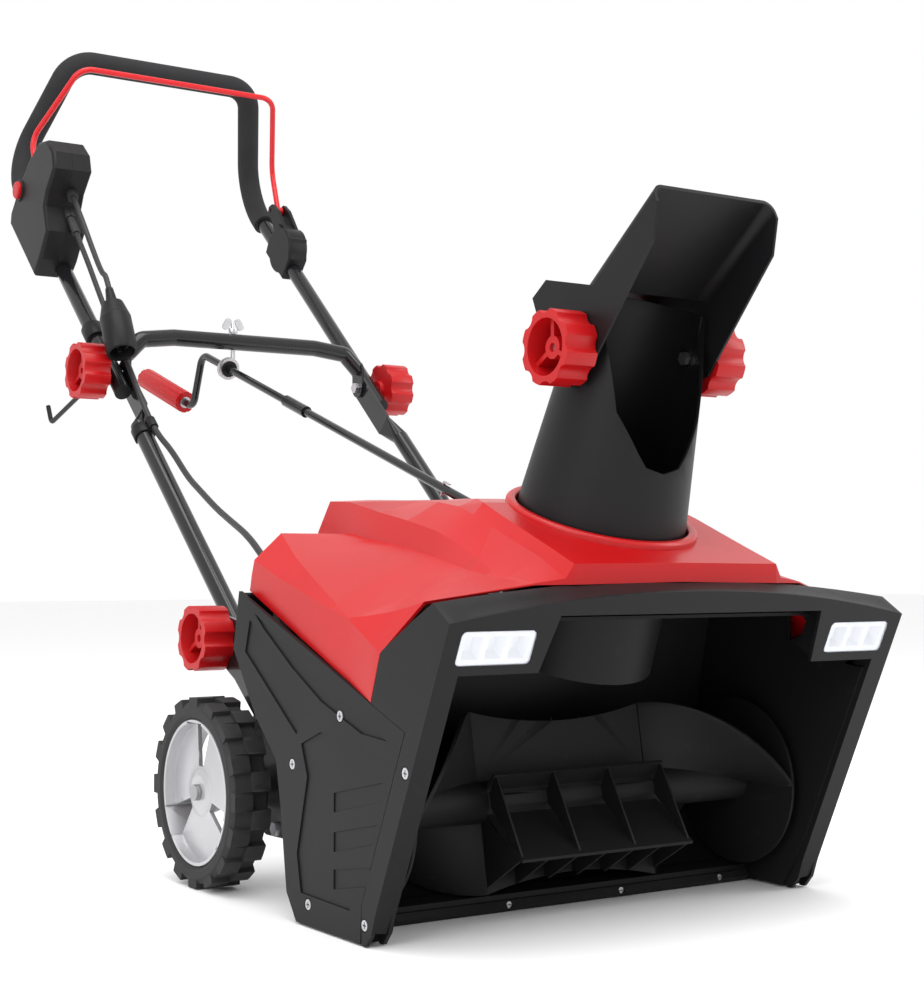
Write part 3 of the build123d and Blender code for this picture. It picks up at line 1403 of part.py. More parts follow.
clip_at = 268.0
with BuildPart() as crank_fasteners:
    # Washer and bolt end at the grip's front, cap at its back, a pin and a spring clip
    with BuildSketch(Plane(origin=crank_elbow + rod_dir * (grip_start - 1.0), z_dir=rod_dir)):
        Circle(8)
        Circle(4.02, mode=Mode.SUBTRACT)
    extrude(amount=0.7)
    with BuildSketch(Plane(origin=crank_elbow + rod_dir * (spindle_length - 3.5),
                           z_dir=rod_dir)):
        Circle(9)
        Circle(4.02, mode=Mode.SUBTRACT)
    extrude(amount=3.3)
    clip_plane = Plane(origin=on_rod(clip_at), x_dir=rod_dir, z_dir=rod_plane_x)
    with BuildSketch(clip_plane):
        with Locations((0, 0)):
            Rectangle(1.6, 17)
        with Locations((-5.2, 7.6)):
            RectangleRounded(11, 1.8, 0.8)
    extrude(amount=1.8, both=True)
    with BuildSketch(rod_plane(clip_at - 20)):
        Circle(rod_radius + 0.02)
    extrude(amount=40, mode=Mode.SUBTRACT)
write(crank_fasteners, "crank_fasteners")

# ---- eyebolt, grommet, clip, hook ---------------------------------------------------
with BuildPart() as eyebolt:
    # The eye hangs under the crossbar; a wing nut holds it from above
    stem_x, stem_y = -18.0, 711.5
    eye_plane = Plane(origin=grommet, z_dir=rod_dir)
    with BuildSketch(eye_plane.offset(-3)):
        Circle(15)
        Circle(11, mode=Mode.SUBTRACT)
    extrude(amount=6)
    rod(Vector(stem_x, stem_y, 615.5), Vector(stem_x, stem_y, 664), 3.0)
    with BuildSketch(Plane.XY.offset(639 + tube_radius + 0.2)):
        with Locations((stem_x, stem_y)):
            Circle(6)
    extrude(amount=6)
    with BuildSketch(Plane(origin=(stem_x, stem_y, 0), x_dir=(1, 0, 0), z_dir=(0, -1, 0))):
        for side in (-1, 1):
            with Locations(Location((side * 9, 662), side * 30)):
                RectangleRounded(9, 16, 3.5)
    extrude(amount=1.5, both=True)
write(eyebolt, "eyebolt")

with BuildPart() as rod_grommet:
    with BuildSketch(rod_plane(803 - 5)):
        Circle(10.98)
        Circle(rod_radius + run_fit, mode=Mode.SUBTRACT)
    extrude(amount=10)
    with Locations(on_rod((grommet - rod_start).length)):
        pass
write(rod_grommet, "rod_grommet")

clip_t = -128.0
cable_front = tube_radius + cord_radius + 1.6     # the cable lies in front of the tube
cable_x = -184.0

with BuildPart() as cable_clip:
    with BuildSketch(Plane(origin=on_tube(clip_t - 8, -tube_half_spacing), x_dir=(1, 0, 0),
                           z_dir=tube_dir)) as clip_face:
        Circle(tube_radius + 2.2)
        turn = 1 if Plane(origin=(0, 0, 0), x_dir=(1, 0, 0), z_dir=tube_dir).y_dir.dot(
            tube_front) > 0 else -1
        with Locations((cable_x + tube_half_spacing, turn * cable_front)):
            Circle(cord_radius + 2.4)
            Circle(cord_radius + 0.6, mode=Mode.SUBTRACT)
        Circle(tube_radius + 0.01, mode=Mode.SUBTRACT)
        with Locations((0, -turn * (tube_radius + 2))):
            Rectangle(14, 8, mode=Mode.SUBTRACT)
    extrude(amount=16)
write(cable_clip, "cable_clip")

hook_t = (765 - hinge_y) * sin(lean) + (645 - hinge_z) * cos(lean)
with BuildPart() as cord_hook:
    # Moulded ring round the left tube, with a wire loop hanging behind it
    with BuildSketch(Plane(origin=on_tube(hook_t - 13, -tube_half_spacing), z_dir=tube_dir)):
        Circle(tube_radius + 4)
        Circle(tube_radius + 0.02, mode=Mode.SUBTRACT)
    extrude(amount=26)
    arm_start = on_tube(hook_t, -tube_half_spacing, -tube_radius - 2.5)
    arm_end = Vector(-tube_half_spacing, 790, 596)
    rod(arm_start, arm_end, 5)
    loop_points = [arm_end + Vector(0, -8, 6), Vector(-191, 790, 575), Vector(-191, 925, 536),
                   Vector(-191, 938, 560)]
    swept(loop_points, (8, 9), 3.2)
write(cord_hook, "cord_hook")


# ---- cords --------------------------------------------------------------------------
def bend_radii(points):
    """A radius for each bend, from the runs beside it and how far it turns."""
    radii = []
    for before, here, after in zip(points, points[1:], points[2:]):
        into, out = here - before, after - here
        turn = radians(into.get_angle(out))
        radii.append(0.45 * min(into.length, out.length) / tan(turn / 2))
    return radii


def cord(points):
    """The cord's solid along its run; reports its length and its bends."""
    radii = bend_radii(points)
    with BuildLine(mode=Mode.PRIVATE) as path:
        FilletPolyline(*points, radius=radii)
    print("cord length", round(path.wire().length, 1), "bends", [round(r) for r in radii])
    with BuildSketch(Plane(origin=path.line @ 0, z_dir=path.line % 0),
                     mode=Mode.PRIVATE) as section:
        Circle(cord_radius)
    sweep(section.sketch, path=path.line)


upper_gland = Vector(-195, 850, 846)
lower_gland = Vector(-195, 861, 820)
gland_length = 16.0
lower_boot = 46.0
plug_top = Vector(-201, 686, 671)
plug_end = Vector(-201, 652, 606)
plug_dir = (plug_end - plug_top).normalized()
plug_radius = 20.0
strain_length = 24.0

gland_dir = Vector(-0.02, -0.72, -0.69).normalized()
lower_dir = Vector(0.03, -0.66, -0.75).normalized()

with BuildPart() as cord_glands:
    for start, direction, boot in ((upper_gland, gland_dir, gland_length),
                                   (lower_gland, lower_dir, lower_boot)):
        rod(start - direction * 3, start + direction * gland_length, cord_radius + 4)
        rod(start, start + direction * boot, cord_radius + 1.8)
    add(switch_box_inner.part, mode=Mode.SUBTRACT)
    add(switch_box_outer.part, mode=Mode.SUBTRACT)
    for start, direction, boot in ((upper_gland, gland_dir, gland_length),
                                   (lower_gland, lower_dir, lower_boot)):
        rod_end = start + direction * (boot + 1)
        with BuildSketch(Plane(origin=start + direction * (boot - 10), z_dir=direction)):
            Circle(cord_radius + 0.01)
        extrude(amount=20, mode=Mode.SUBTRACT)
write(cord_glands, "cord_glands")

plug_cord_points = [upper_gland + gland_dir * (gland_length - 10),
                    upper_gland + gland_dir * (gland_length + 34),
                    Vector(-193, 776, 758), Vector(-199, 726, 716),
                    plug_top - plug_dir * (strain_length + 22),
                    plug_top - plug_dir * (strain_length - 10)]
with BuildPart() as plug_cord:
    cord(plug_cord_points)
write(plug_cord, "plug_cord")

with BuildPart() as mains_plug:
    plug_plane = Plane(origin=plug_top, x_dir=(1, 0, 0), z_dir=plug_dir)
    with BuildSketch(plug_plane):
        Circle(14)
    with BuildSketch(plug_plane.offset(22)):
        Circle(plug_radius)
    loft()
    with BuildSketch(plug_plane.offset(21.9)):
        Circle(plug_radius)
    extrude(amount=(plug_end - plug_top).length - 22)
    with BuildSketch(plug_plane.offset((plug_end - plug_top).length)):
        Circle(plug_radius - 4)
    extrude(amount=-24, mode=Mode.SUBTRACT)
    # Three blades inside the shroud
    with BuildSketch(plug_plane.offset((plug_end - plug_top).length - 26)):
        with Locations((-6, 3), (6, 3)):
            Rectangle(1.8, 7)
        with Locations((0, -7)):
            Circle(2.4)
    extrude(amount=20)
    with BuildSketch(plug_plane.offset(1)):
        Circle(8)
    with BuildSketch(plug_plane.offset(-strain_length)):
        Circle(cord_radius + 1.4)
    loft()
    with BuildSketch(plug_plane.offset(-strain_length - 1)):
        Circle(cord_radius + 0.01)
    extrude(amount=12, mode=Mode.SUBTRACT)
write(mains_plug, "mains_plug")

# The motor cable runs down in front of the left tube, past the fold, through the clip,
# and arcs down to the hood.
cable_split = on_tube(-8, -185, 29)
cable_upper_points = [lower_gland + lower_dir * (lower_boot - 10),
                      lower_gland + lower_dir * (lower_boot + 40),
                      on_tube(130, -187, 45), on_tube(66, -186, 35), cable_split]
with BuildPart() as motor_cable_upper:
    cord(cable_upper_points)
write(motor_cable_upper, "motor_cable_upper")

hood_entry = Vector(-232, 197, 340)
cable_lower_points = [on_tube(-8.3, -185, 29), on_tube(-60, -185, 23),
                      on_tube(clip_t + 20, cable_x, cable_front),
                      on_tube(clip_t - 22, cable_x, cable_front + 0.6), Vector(-185, 536, 476),
                      Vector(-190, 480, 442), Vector(-200, 425, 424), Vector(-208, 366, 402),
                      Vector(-218, 308, 386), Vector(-227, 253, 371), Vector(-232, 212, 352),
                      Vector(-233, 180, 330)]
with BuildPart() as motor_cable_lower:
    cord(cable_lower_points)
write(motor_cable_lower, "motor_cable_lower")

# ---- body screws --------------------------------------------------------------------
with BuildPart() as body_screws:
    for side in (-1, 1):
        for y, z in screw_places + bezel_screws:
            with BuildSketch(side_plane(side * (half_width - 2.0))):
                with Locations((y, z)):
                    Circle(screw_head)
                    Rectangle(6, 1.4, mode=Mode.SUBTRACT)
                    Rectangle(1.4, 6, mode=Mode.SUBTRACT)
            extrude(amount=side * 1.8)
            with BuildSketch(side_plane(side * (half_width - 2.1))):
                with Locations((y, z)):
                    Circle(2.28)
            extrude(amount=-side * 12)
        # Hexagon bolt through each frame arm
        with BuildSketch(side_plane(side * (arm_outer + 0.05))):
            with Locations((arm_screw_y, arm_screw_z)):
                RegularPolygon(7.5, 6)
        extrude(amount=side * 5)
        with BuildSketch(side_plane(side * (arm_inner - 8))):
            with Locations((arm_screw_y, arm_screw_z)):
                Circle(4.0)
        extrude(amount=side * 13)
    # Screws of the scraper bar
    for x in scraper_screws:
        with BuildSketch(Plane(origin=(x, -3.8, scraper_screw_z), x_dir=(1, 0, 0),
                               z_dir=(0, -1, 0))):
            Circle(3.2)
            Rectangle(4, 1, mode=Mode.SUBTRACT)
        extrude(amount=1.8)
write(body_screws, "body_screws")
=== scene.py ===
import math

import bmesh
import bpy
from mathutils import Matrix, Vector


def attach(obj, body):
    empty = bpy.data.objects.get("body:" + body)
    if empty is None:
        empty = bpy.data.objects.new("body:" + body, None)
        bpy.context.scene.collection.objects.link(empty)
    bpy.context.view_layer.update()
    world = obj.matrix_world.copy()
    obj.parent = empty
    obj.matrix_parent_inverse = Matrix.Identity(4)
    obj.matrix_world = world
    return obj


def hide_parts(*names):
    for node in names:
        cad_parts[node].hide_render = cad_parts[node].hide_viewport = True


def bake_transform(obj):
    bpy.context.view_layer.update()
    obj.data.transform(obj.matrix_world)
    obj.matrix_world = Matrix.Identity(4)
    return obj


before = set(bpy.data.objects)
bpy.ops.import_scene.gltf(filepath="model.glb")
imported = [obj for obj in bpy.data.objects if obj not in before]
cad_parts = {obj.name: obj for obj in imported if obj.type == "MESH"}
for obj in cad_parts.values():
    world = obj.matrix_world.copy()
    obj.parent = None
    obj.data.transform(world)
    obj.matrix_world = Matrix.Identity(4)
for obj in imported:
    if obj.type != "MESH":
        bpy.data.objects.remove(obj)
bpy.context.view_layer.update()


# Auger housing, bezel, side covers and rear pan: black polypropylene mouldings, screwed
# together along their seams. The tool leaves a fine, even spark texture on them; they are
# mottled a little and carry pale scuffs from handling.
class Strand:
    """A value passing between shader nodes, with arithmetic."""

    def __init__(self, tree, socket=None):
        self.tree, self.socket = tree, socket

    def node(self, kind, settings=None, inputs=None, out=0):
        made = self.tree.nodes.new(kind)
        for key, value in (settings or {}).items():
            setattr(made, key, value)
        for key, value in (inputs or {}).items():
            if isinstance(value, Strand):
                self.tree.links.new(value.socket, made.inputs[key])
            else:
                made.inputs[key].default_value = value
        return Strand(self.tree, made.outputs[out])

    def maths(self, operation, first, second):
        return self.node("ShaderNodeMath", {"operation": operation}, {0: first, 1: second})

    def __add__(self, other):
        return self.maths("ADD", self, other)

    __radd__ = __add__

    def __sub__(self, other):
        return self.maths("SUBTRACT", self, other)

    def __rsub__(self, other):
        return self.maths("SUBTRACT", other, self)

    def __mul__(self, other):
        return self.maths("MULTIPLY", self, other)

    __rmul__ = __mul__


def open_finish(name, constants):
    """A new material: its Principled shader and a strand to start from."""
    finish = bpy.data.materials.new(name)
    finish.use_nodes = True
    tree = finish.node_tree
    shader = tree.nodes["Principled BSDF"]
    for key, value in constants.items():
        shader.inputs[key].default_value = value
    return finish, shader, Strand(tree)


def feed(shader, socket, strand):
    """Links a strand into one of the shader's sockets."""
    strand.tree.links.new(strand.socket, shader.inputs[socket])


def tinted(factor, low, high):
    """A colour between two, by a factor; either may be a strand already."""
    low, high = (c if isinstance(c, Strand) else (*c, 1.0) for c in (low, high))
    return factor.node("ShaderNodeMix", {"data_type": "RGBA"}, {0: factor, 6: low, 7: high}, out=2)


def raised(shader, height, strength, distance):
    """Fine relief on a finish, from a height."""
    feed(shader, "Normal", height.node("ShaderNodeBump", None, {
        "Height": height, "Strength": strength, "Distance": distance}))


def speckle(strand, scale, detail=2.0, rough=0.5, stretch=None):
    """Noise over the piece's own space; stretch squeezes it along an axis."""
    place = strand.node("ShaderNodeTexCoord", out="Object")
    if stretch:
        place = strand.node("ShaderNodeMapping", None, {"Vector": place, "Scale": stretch})
    return strand.node("ShaderNodeTexNoise", None,
                       {"Vector": place, "Scale": scale, "Detail": detail, "Roughness": rough})


def moulded(name, colour, rough, grain, depth, coat=0.0, scuff=0.5, gloss=0.2):
    """Moulded plastic: tool grain, mottling, and pale scuffs."""
    finish, shader, start = open_finish(name, {"Coat Weight": coat, "Coat Roughness": 0.12,
                                               "Specular IOR Level": gloss})
    fine = speckle(start, grain, 3.0, 0.6)
    pits = start.node("ShaderNodeTexVoronoi", {"feature": "F1"},
                      {"Vector": start.node("ShaderNodeTexCoord", out="Object"),
                       "Scale": grain * 0.8})
    cloud = speckle(start, 9.0, 4.0, 0.6)
    rub = speckle(start, 60.0, 6.0, 0.75, (1.0, 0.35, 1.0))
    worn = start.node("ShaderNodeMapRange", {"clamp": True},
                      {"Value": rub, "From Min": 0.6, "From Max": 0.78, "To Min": 0.0,
                       "To Max": scuff})
    pale = tuple(min(1.0, c * 1.5 + 0.012) for c in colour)
    deep = tuple(c * 0.8 for c in colour)
    feed(shader, "Base Color", tinted(worn, tinted(cloud, deep, colour), pale))
    feed(shader, "Roughness", rough - 0.05 + fine * 0.1 + cloud * 0.08 + worn * 0.1)
    raised(shader, fine * 0.6 + pits * 0.4, depth, 0.0004)
    return finish


seam_gap, sharp_angle = 0.00002, math.radians(38)


def dress(names, finish, edge):
    """Gives CAD nodes a finish and breaks their sharp edges a little."""
    for name in names:
        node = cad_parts[name]
        if not node.material_slots:
            node.data.materials.append(finish)
        for place in node.material_slots:
            place.material = finish
        if edge:
            weld = node.modifiers.new("joined", "WELD")
            weld.merge_threshold = seam_gap
            soft = node.modifiers.new("broken_edges", "BEVEL")
            soft.width, soft.segments, soft.limit_method = edge, 2, "ANGLE"
            soft.angle_limit = sharp_angle


body_black = moulded("textured_black_plastic", (0.0085, 0.0085, 0.0095), 0.46, 2300.0, 0.22)
dress(["auger_housing", "rear_pan"], body_black, 0)
dress(["front_bezel", "left_side_cover", "right_side_cover"], body_black, 0.0008)

# Top hood: one red moulded shell with soft creases, screwed to the body, and a collar round
# the foot of the chute. Its front lip lies over the bezel's top. It is polished in the tool,
# so it has a soft gloss, a light orange peel and a few faint rub marks. Sizes in millimetres
# run from the front edge to the rear wall, from the side seam in to the middle.
hood_red = moulded("glossy_red_plastic", (0.50, 0.004, 0.006), 0.3, 700.0, 0.04, 0.08, 0.08, 0.3)
seam = [(270, -76, 217), (270, -74, 218), (269, -70, 219), (268, -60, 222), (266, -31, 233),
        (265, 5, 246), (263, 60, 266.5), (261, 112, 286), (258, 183, 312.5), (258, 183.5, 312.6),
        (258, 184, 312.7), (258, 184, 312.8)]
side_crease = [(270, -92, 261), (269.5, -82, 265.5), (268.5, -68, 272), (267, -50, 280),
               (265, -29, 289), (264.5, 5, 298), (263, 60, 312), (262, 112, 325.5),
               (260, 170, 344), (259, 178, 328), (258, 182, 318), (258, 184, 313)]
shoulder = [(246, -127, 307), (248, -105, 302), (252, -80, 297), (258, -50, 293), (263, -29, 291),
            (258, 5, 302), (251, 60, 324), (244, 112, 346), (235, 160, 371), (236, 170, 345),
            (237, 178, 328), (238, 184, 313)]
ramp_foot = [(162, -171, 322.5), (170, -140, 327), (172, -115, 330), (170, -84, 334),
             (160, -31, 342), (157, 5, 348.5), (155, 60, 358), (154, 112, 364), (152, 160, 371),
             (152, 170, 345), (152, 178, 328), (152, 184, 313)]
ramp_top = [(156, -172, 323.5), (164, -140, 329), (166, -115, 334), (162, -88, 344),
            (152, -31, 362), (149, 5, 372), (147, 60, 383), (146, 112, 392), (141, 184, 405),
            (140, 228, 407), (148, 240, 374), (149, 240, 313)]
deck_edge = [(130, -178, 327), (130, -140, 346), (131, -100, 361), (131, -64, 375),
             (129, -31, 387), (122, 5, 396), (110, 60, 402), (100, 112, 404.5), (92, 184, 407.5),
             (92, 228, 409.5), (92, 240, 374), (92, 240, 313)]
plateau_edge = [(122, -180, 340), (121, -140, 356), (121, -100, 372), (121, -64, 386.5),
                (118, -31, 399), (100, 5, 404), (80, 60, 406), (60, 112, 407), (50, 184, 408),
                (50, 228, 410), (50, 240, 374), (50, 240, 313)]
middle = [(0, -186, 341), (0, -140, 357), (0, -100, 373), (0, -64, 387.5), (0, -31, 400),
          (0, 5, 405), (0, 60, 407), (0, 112, 408), (0, 184, 409), (0, 228, 411),
          (0, 240, 374), (0, 240, 313)]
rails = [seam, side_crease, shoulder, ramp_foot, ramp_top, deck_edge, plateau_edge, middle]
arch_start = 3               # rails from here in end on the bezel's arch
hood_wall, hood_crease, crease_angle = 0.003, 0.0022, math.radians(11)
throat_hole, throat_reach = 0.088, 0.24
slot_radius, slot_stretch = 0.011, 0.026
slot_middle = Vector((-0.007, 0.164, 0.41))


def brow(x, y):
    """Top of the bezel's arch under the hood's front lip."""
    return 325.6 + (y + 178) * 0.27 - 18 * (x / 270) ** 2


for rail in rails[arch_start:]:
    x, y, z = rail[0]
    rail.insert(0, (x, y - 0.5, brow(x, y)))
for rail in rails[:arch_start]:
    rail.insert(0, rail[0])
rails += [[(-x, y, z) for x, y, z in rail] for rail in reversed(rails[:-1])]
shell = bmesh.new()
grid = [[shell.verts.new((x / 1000, y / 1000, z / 1000)) for x, y, z in rail] for rail in rails]
for left, right in zip(grid, grid[1:]):
    for low, high in zip(range(len(left) - 1), range(1, len(left))):
        shell.faces.new((left[low], left[high], right[high], right[low]))
bmesh.ops.remove_doubles(shell, verts=shell.verts, dist=0.0006)
bmesh.ops.recalc_face_normals(shell, faces=shell.faces)
if sum(face.normal.z * face.calc_area() for face in shell.faces) < 0:
    bmesh.ops.reverse_faces(shell, faces=shell.faces)
chute_base = Vector((0.0, -0.0655, 0.3915))
chute_lean = math.radians(19.5)
chute_up = Vector((0.0, -math.sin(chute_lean), math.cos(chute_lean)))
chute_turn = chute_up.to_track_quat("Z", "Y").to_matrix().to_4x4()


def new_piece(name, mesh_data, finish):
    """A new piece from a bmesh, with its finish."""
    mesh = bpy.data.meshes.new(name)
    mesh_data.to_mesh(mesh)
    mesh_data.free()
    piece = bpy.data.objects.new(name, mesh)
    bpy.context.collection.objects.link(piece)
    mesh.materials.append(finish)
    return piece


def cut_away(piece, cutter):
    """Cuts one closed form out of a piece and throws the form away."""
    trim = piece.modifiers.new("trim", "BOOLEAN")
    trim.operation, trim.object, trim.solver = "DIFFERENCE", cutter, "EXACT"
    bpy.context.view_layer.update()
    piece.data = bpy.data.meshes.new_from_object(
        piece.evaluated_get(bpy.context.evaluated_depsgraph_get()))
    piece.modifiers.clear()
    bpy.data.objects.remove(cutter)


hood = new_piece("red_hood", shell, hood_red)
wall = hood.modifiers.new("wall", "SOLIDIFY")
wall.thickness, wall.offset = hood_wall, -1.0
throat = bmesh.new()
bmesh.ops.create_cone(throat, cap_ends=True, segments=96, radius1=throat_hole,
                      radius2=throat_hole, depth=throat_reach,
                      matrix=Matrix.Translation(chute_base) @ chute_turn)
cut_away(hood, new_piece("throat_cut", throat, hood_red))
slot = bmesh.new()
bmesh.ops.create_cone(slot, cap_ends=True, segments=40, radius1=slot_radius,
                      radius2=slot_radius, depth=0.08, matrix=Matrix.Translation(slot_middle))
for vert in slot.verts:
    vert.co.y += slot_stretch if vert.co.y > slot_middle.y else -slot_stretch
cut_away(hood, new_piece("slot_cut", slot, hood_red))
soft = hood.modifiers.new("radiused_creases", "BEVEL")
soft.width, soft.segments, soft.limit_method = hood_crease, 4, "ANGLE"
soft.angle_limit, soft.harden_normals = crease_angle, True
hood.data.shade_smooth()
collar = bmesh.new()
profile = [(0.0857, -0.030), (0.0857, -0.003), (0.0875, -0.001), (0.0930, -0.001),
           (0.0955, -0.0035), (0.0962, -0.024), (0.0962, -0.030)]
turns = 120
rings = [[collar.verts.new(chute_base + chute_turn.to_3x3() @ Vector(
    (radius * math.cos(2 * math.pi * step / turns), radius * math.sin(2 * math.pi * step / turns),
     up))) for radius, up in profile] for step in range(turns)]
for step in range(turns):
    ahead = rings[(step + 1) % turns]
    for low in range(len(profile)):
        high = (low + 1) % len(profile)
        collar.faces.new((rings[step][low], ahead[low], ahead[high], rings[step][high]))
bmesh.ops.recalc_face_normals(collar, faces=collar.faces)
ring = new_piece("hood_collar", collar, hood_red)
ring.data.shade_smooth()
soft = ring.modifiers.new("radiused_creases", "BEVEL")
soft.width, soft.segments, soft.limit_method = 0.0007, 2, "ANGLE"
for piece in (hood, ring):
    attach(piece, "chassis")
    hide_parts("top_hood")

# Scraper bar, auger, its bearings and its pulley: hard-wearing black nylon, duller than the
# housing and more scuffed. The bar is screwed under the scoop, and the auger is on its shaft.
wearing_black = moulded("worn_black_nylon", (0.010, 0.010, 0.011), 0.5, 1500.0, 0.3, 0.0, 0.8)
dress(["scraper_bar", "auger_bearings", "auger_pulley"], wearing_black, 0.0004)
dress(["auger_paddle", "left_auger_flight", "right_auger_flight"], wearing_black, 0.0006)

# Lamps: a white moulded reflector tray with three cups at each top corner of the intake,
# each under a clear cover that is snapped into the bezel.
lamp_white, shader, start = open_finish("lamp_white", {"Roughness": 0.25, "Coat Weight": 0.4})
milk = speckle(start, 40.0)
feed(shader, "Base Color", tinted(milk, (0.78, 0.8, 0.84), (0.9, 0.91, 0.94)))
raised(shader, speckle(start, 900.0), 0.05, 0.0003)
dress(["lamp_reflectors"], lamp_white, 0.0004)
lamp_clear, shader, start = open_finish("lamp_cover", {"Roughness": 0.06, "Alpha": 0.22,
                                                       "Coat Weight": 1.0})
haze = speckle(start, 300.0)
feed(shader, "Base Color", tinted(haze, (0.8, 0.84, 0.9), (0.95, 0.96, 1.0)))
feed(shader, "Roughness", 0.04 + haze * 0.05)
dress(["lamp_lenses"], lamp_clear, 0)


# Handle tubes, crossbar, frame arms and crank rod: steel with gloss black powder coat, which
# shows a soft orange peel and small chips.
def coated(name, colour, rough, peel):
    """Powder-coated or painted metal."""
    finish, shader, start = open_finish(name, {"Coat Weight": 0.25, "Coat Roughness": 0.1,
                                               "Specular IOR Level": 0.3})
    ripple = speckle(start, 420.0, 2.0)
    cloud = speckle(start, 14.0, 3.0)
    chip = start.node("ShaderNodeMapRange", {"clamp": True},
                      {"Value": speckle(start, 160.0, 5.0, 0.7), "From Min": 0.72,
                       "From Max": 0.76, "To Min": 0.0, "To Max": 0.35})
    light = tuple(c * 1.25 for c in colour)
    pale = tuple(c * 1.6 + 0.02 for c in colour)
    feed(shader, "Base Color", tinted(chip, tinted(cloud, colour, light), pale))
    feed(shader, "Roughness", rough + ripple * 0.06 + chip * 0.3)
    raised(shader, ripple, peel, 0.0003)
    return finish


tube_black = coated("gloss_black_coat", (0.008, 0.008, 0.009), 0.14, 0.06)
dress(["lower_tubes", "upper_handle_tube", "crossbar", "crank_rod", "crank_lower_rod"],
      tube_black, 0)
dress(["frame_arms"], tube_black, 0.0006)

# Bail: one bent steel wire, dipped in red plastic, hooked into the switch box on one side
# and into its bracket on the other.
bail_red = coated("red_dip_coat", (0.5, 0.004, 0.008), 0.26, 0.05)
dress(["bail_wire"], bail_red, 0)

# Foam grip: a closed-cell sponge sleeve pushed over the upper tube. Its skin is matt and full
# of fine open pores.
foam, shader, start = open_finish("sponge_grip", {"Specular IOR Level": 0.25})
pores = start.node("ShaderNodeTexVoronoi", {"feature": "F1"},
                   {"Vector": start.node("ShaderNodeTexCoord", out="Object"), "Scale": 1300.0})
fuzz = speckle(start, 700.0, 5.0, 0.7)
cloud = speckle(start, 30.0, 3.0)
feed(shader, "Base Color", tinted(fuzz * 0.6 + cloud * 0.4, (0.009, 0.009, 0.01),
                                  (0.03, 0.03, 0.032)))
feed(shader, "Roughness", 0.68 + fuzz * 0.2)
raised(shader, pores * 0.7 + fuzz * 0.5, 0.55, 0.0006)
dress(["foam_grip"], foam, 0)

# Switch box, bail bracket, clips, hook, plugs and pinion: the same black plastic as the body
# with a finer tool grain, clipped or screwed to the tubes.
fitting_black = moulded("fine_black_plastic", (0.008, 0.008, 0.009), 0.38, 3000.0, 0.15)
dress(["switch_box_outer", "switch_box_inner", "bail_bracket", "cord_hook"],
      fitting_black, 0.0008)
dress(["tube_end_plugs", "cable_clip", "rod_grommet", "mains_plug", "switch_block",
       "crank_pinion"], fitting_black, 0.0004)

# Chute and deflector: the discharge chute turns on the housing and the deflector tilts on it.
# Both are black polypropylene, smoother than the body, with pale scuffs.
chute_black = moulded("chute_black_plastic", (0.008, 0.008, 0.009), 0.38, 1900.0, 0.14, 0.0, 0.3)
dress(["chute_tube", "chute_deflector"], chute_black, 0.0009)

# Hand knobs, crank grip and lock-off button: glass-filled red nylon with a satin tool finish.
# The knobs screw on to their bolts, and the grip turns on the end of the crank.
knob_red = moulded("satin_red_nylon", (0.46, 0.004, 0.006), 0.34, 1400.0, 0.12, 0.05, 0.15, 0.3)
dress(["left_upper_knob", "right_upper_knob", "left_lower_knob", "right_lower_knob",
       "left_deflector_knob", "right_deflector_knob"], knob_red, 0.0012)
dress(["crank_grip", "lockout_button"], knob_red, 0.0008)

# Tyres and drive belt: solid black rubber with a fine crumb and a chalky bloom. The tyres
# are pushed over the rims, and the belt runs over both pulleys.
rubber, shader, start = open_finish("tread_rubber", {"Specular IOR Level": 0.35})
bloom = speckle(start, 22.0, 5.0, 0.65)
crumb = speckle(start, 1100.0, 4.0, 0.65)
feed(shader, "Base Color", tinted(bloom * 0.7 + crumb * 0.3, (0.010, 0.010, 0.011),
                                  (0.034, 0.033, 0.033)))
feed(shader, "Roughness", 0.6 + bloom * 0.25)
raised(shader, crumb, 0.3, 0.0005)
dress(["left_tyre", "right_tyre"], rubber, 0.0012)
dress(["drive_belt"], rubber, 0)

# Rims: spoked wheels sprayed with silver wheel paint, whose fine flake glitters softly. They
# turn on the axle.
silver, shader, start = open_finish("silver_wheel_paint", {"Metallic": 0.65, "Coat Weight": 0.3,
                                                           "Coat Roughness": 0.2})
flake = speckle(start, 3200.0, 2.0)
cloud = speckle(start, 18.0, 3.0)
feed(shader, "Base Color", tinted(flake * 0.5 + cloud * 0.5, (0.36, 0.36, 0.37),
                                  (0.6, 0.6, 0.62)))
feed(shader, "Roughness", 0.32 + flake * 0.12)
raised(shader, flake, 0.06, 0.0003)
dress(["left_rim", "right_rim"], silver, 0.001)


# Screws, bolts, eyebolt, wing nut and spring clip: zinc-plated steel, faintly clouded by the
# bath. The axle and auger shaft are bare drawn steel; the motor and its pulley are cast.
def plated(name, colour, rough, line):
    """Bare or plated metal with drawing lines."""
    finish, shader, start = open_finish(name, {"Metallic": 1.0})
    cloud = speckle(start, 120.0, 4.0)
    lines = speckle(start, 900.0, 3.0, 0.6, line)
    feed(shader, "Base Color", tinted(cloud, tuple(c * 0.8 for c in colour), colour))
    feed(shader, "Roughness", rough + cloud * 0.12 + lines * 0.08)
    raised(shader, lines, 0.12, 0.0002)
    return finish


zinc = plated("zinc_plate", (0.62, 0.62, 0.64), 0.28, (0.1, 1, 1))
dress(["body_screws", "handle_bolts", "deflector_bolts", "eyebolt", "crank_fasteners"], zinc,
      0.0003)
steel = plated("drawn_steel", (0.42, 0.42, 0.43), 0.34, (0.08, 1, 1))
dress(["wheel_axle", "auger_shaft"], steel, 0.0003)
cast = plated("cast_aluminium", (0.4, 0.4, 0.41), 0.45, (1, 1, 1))
dress(["drive_motor", "motor_pulley"], cast, 0.0004)

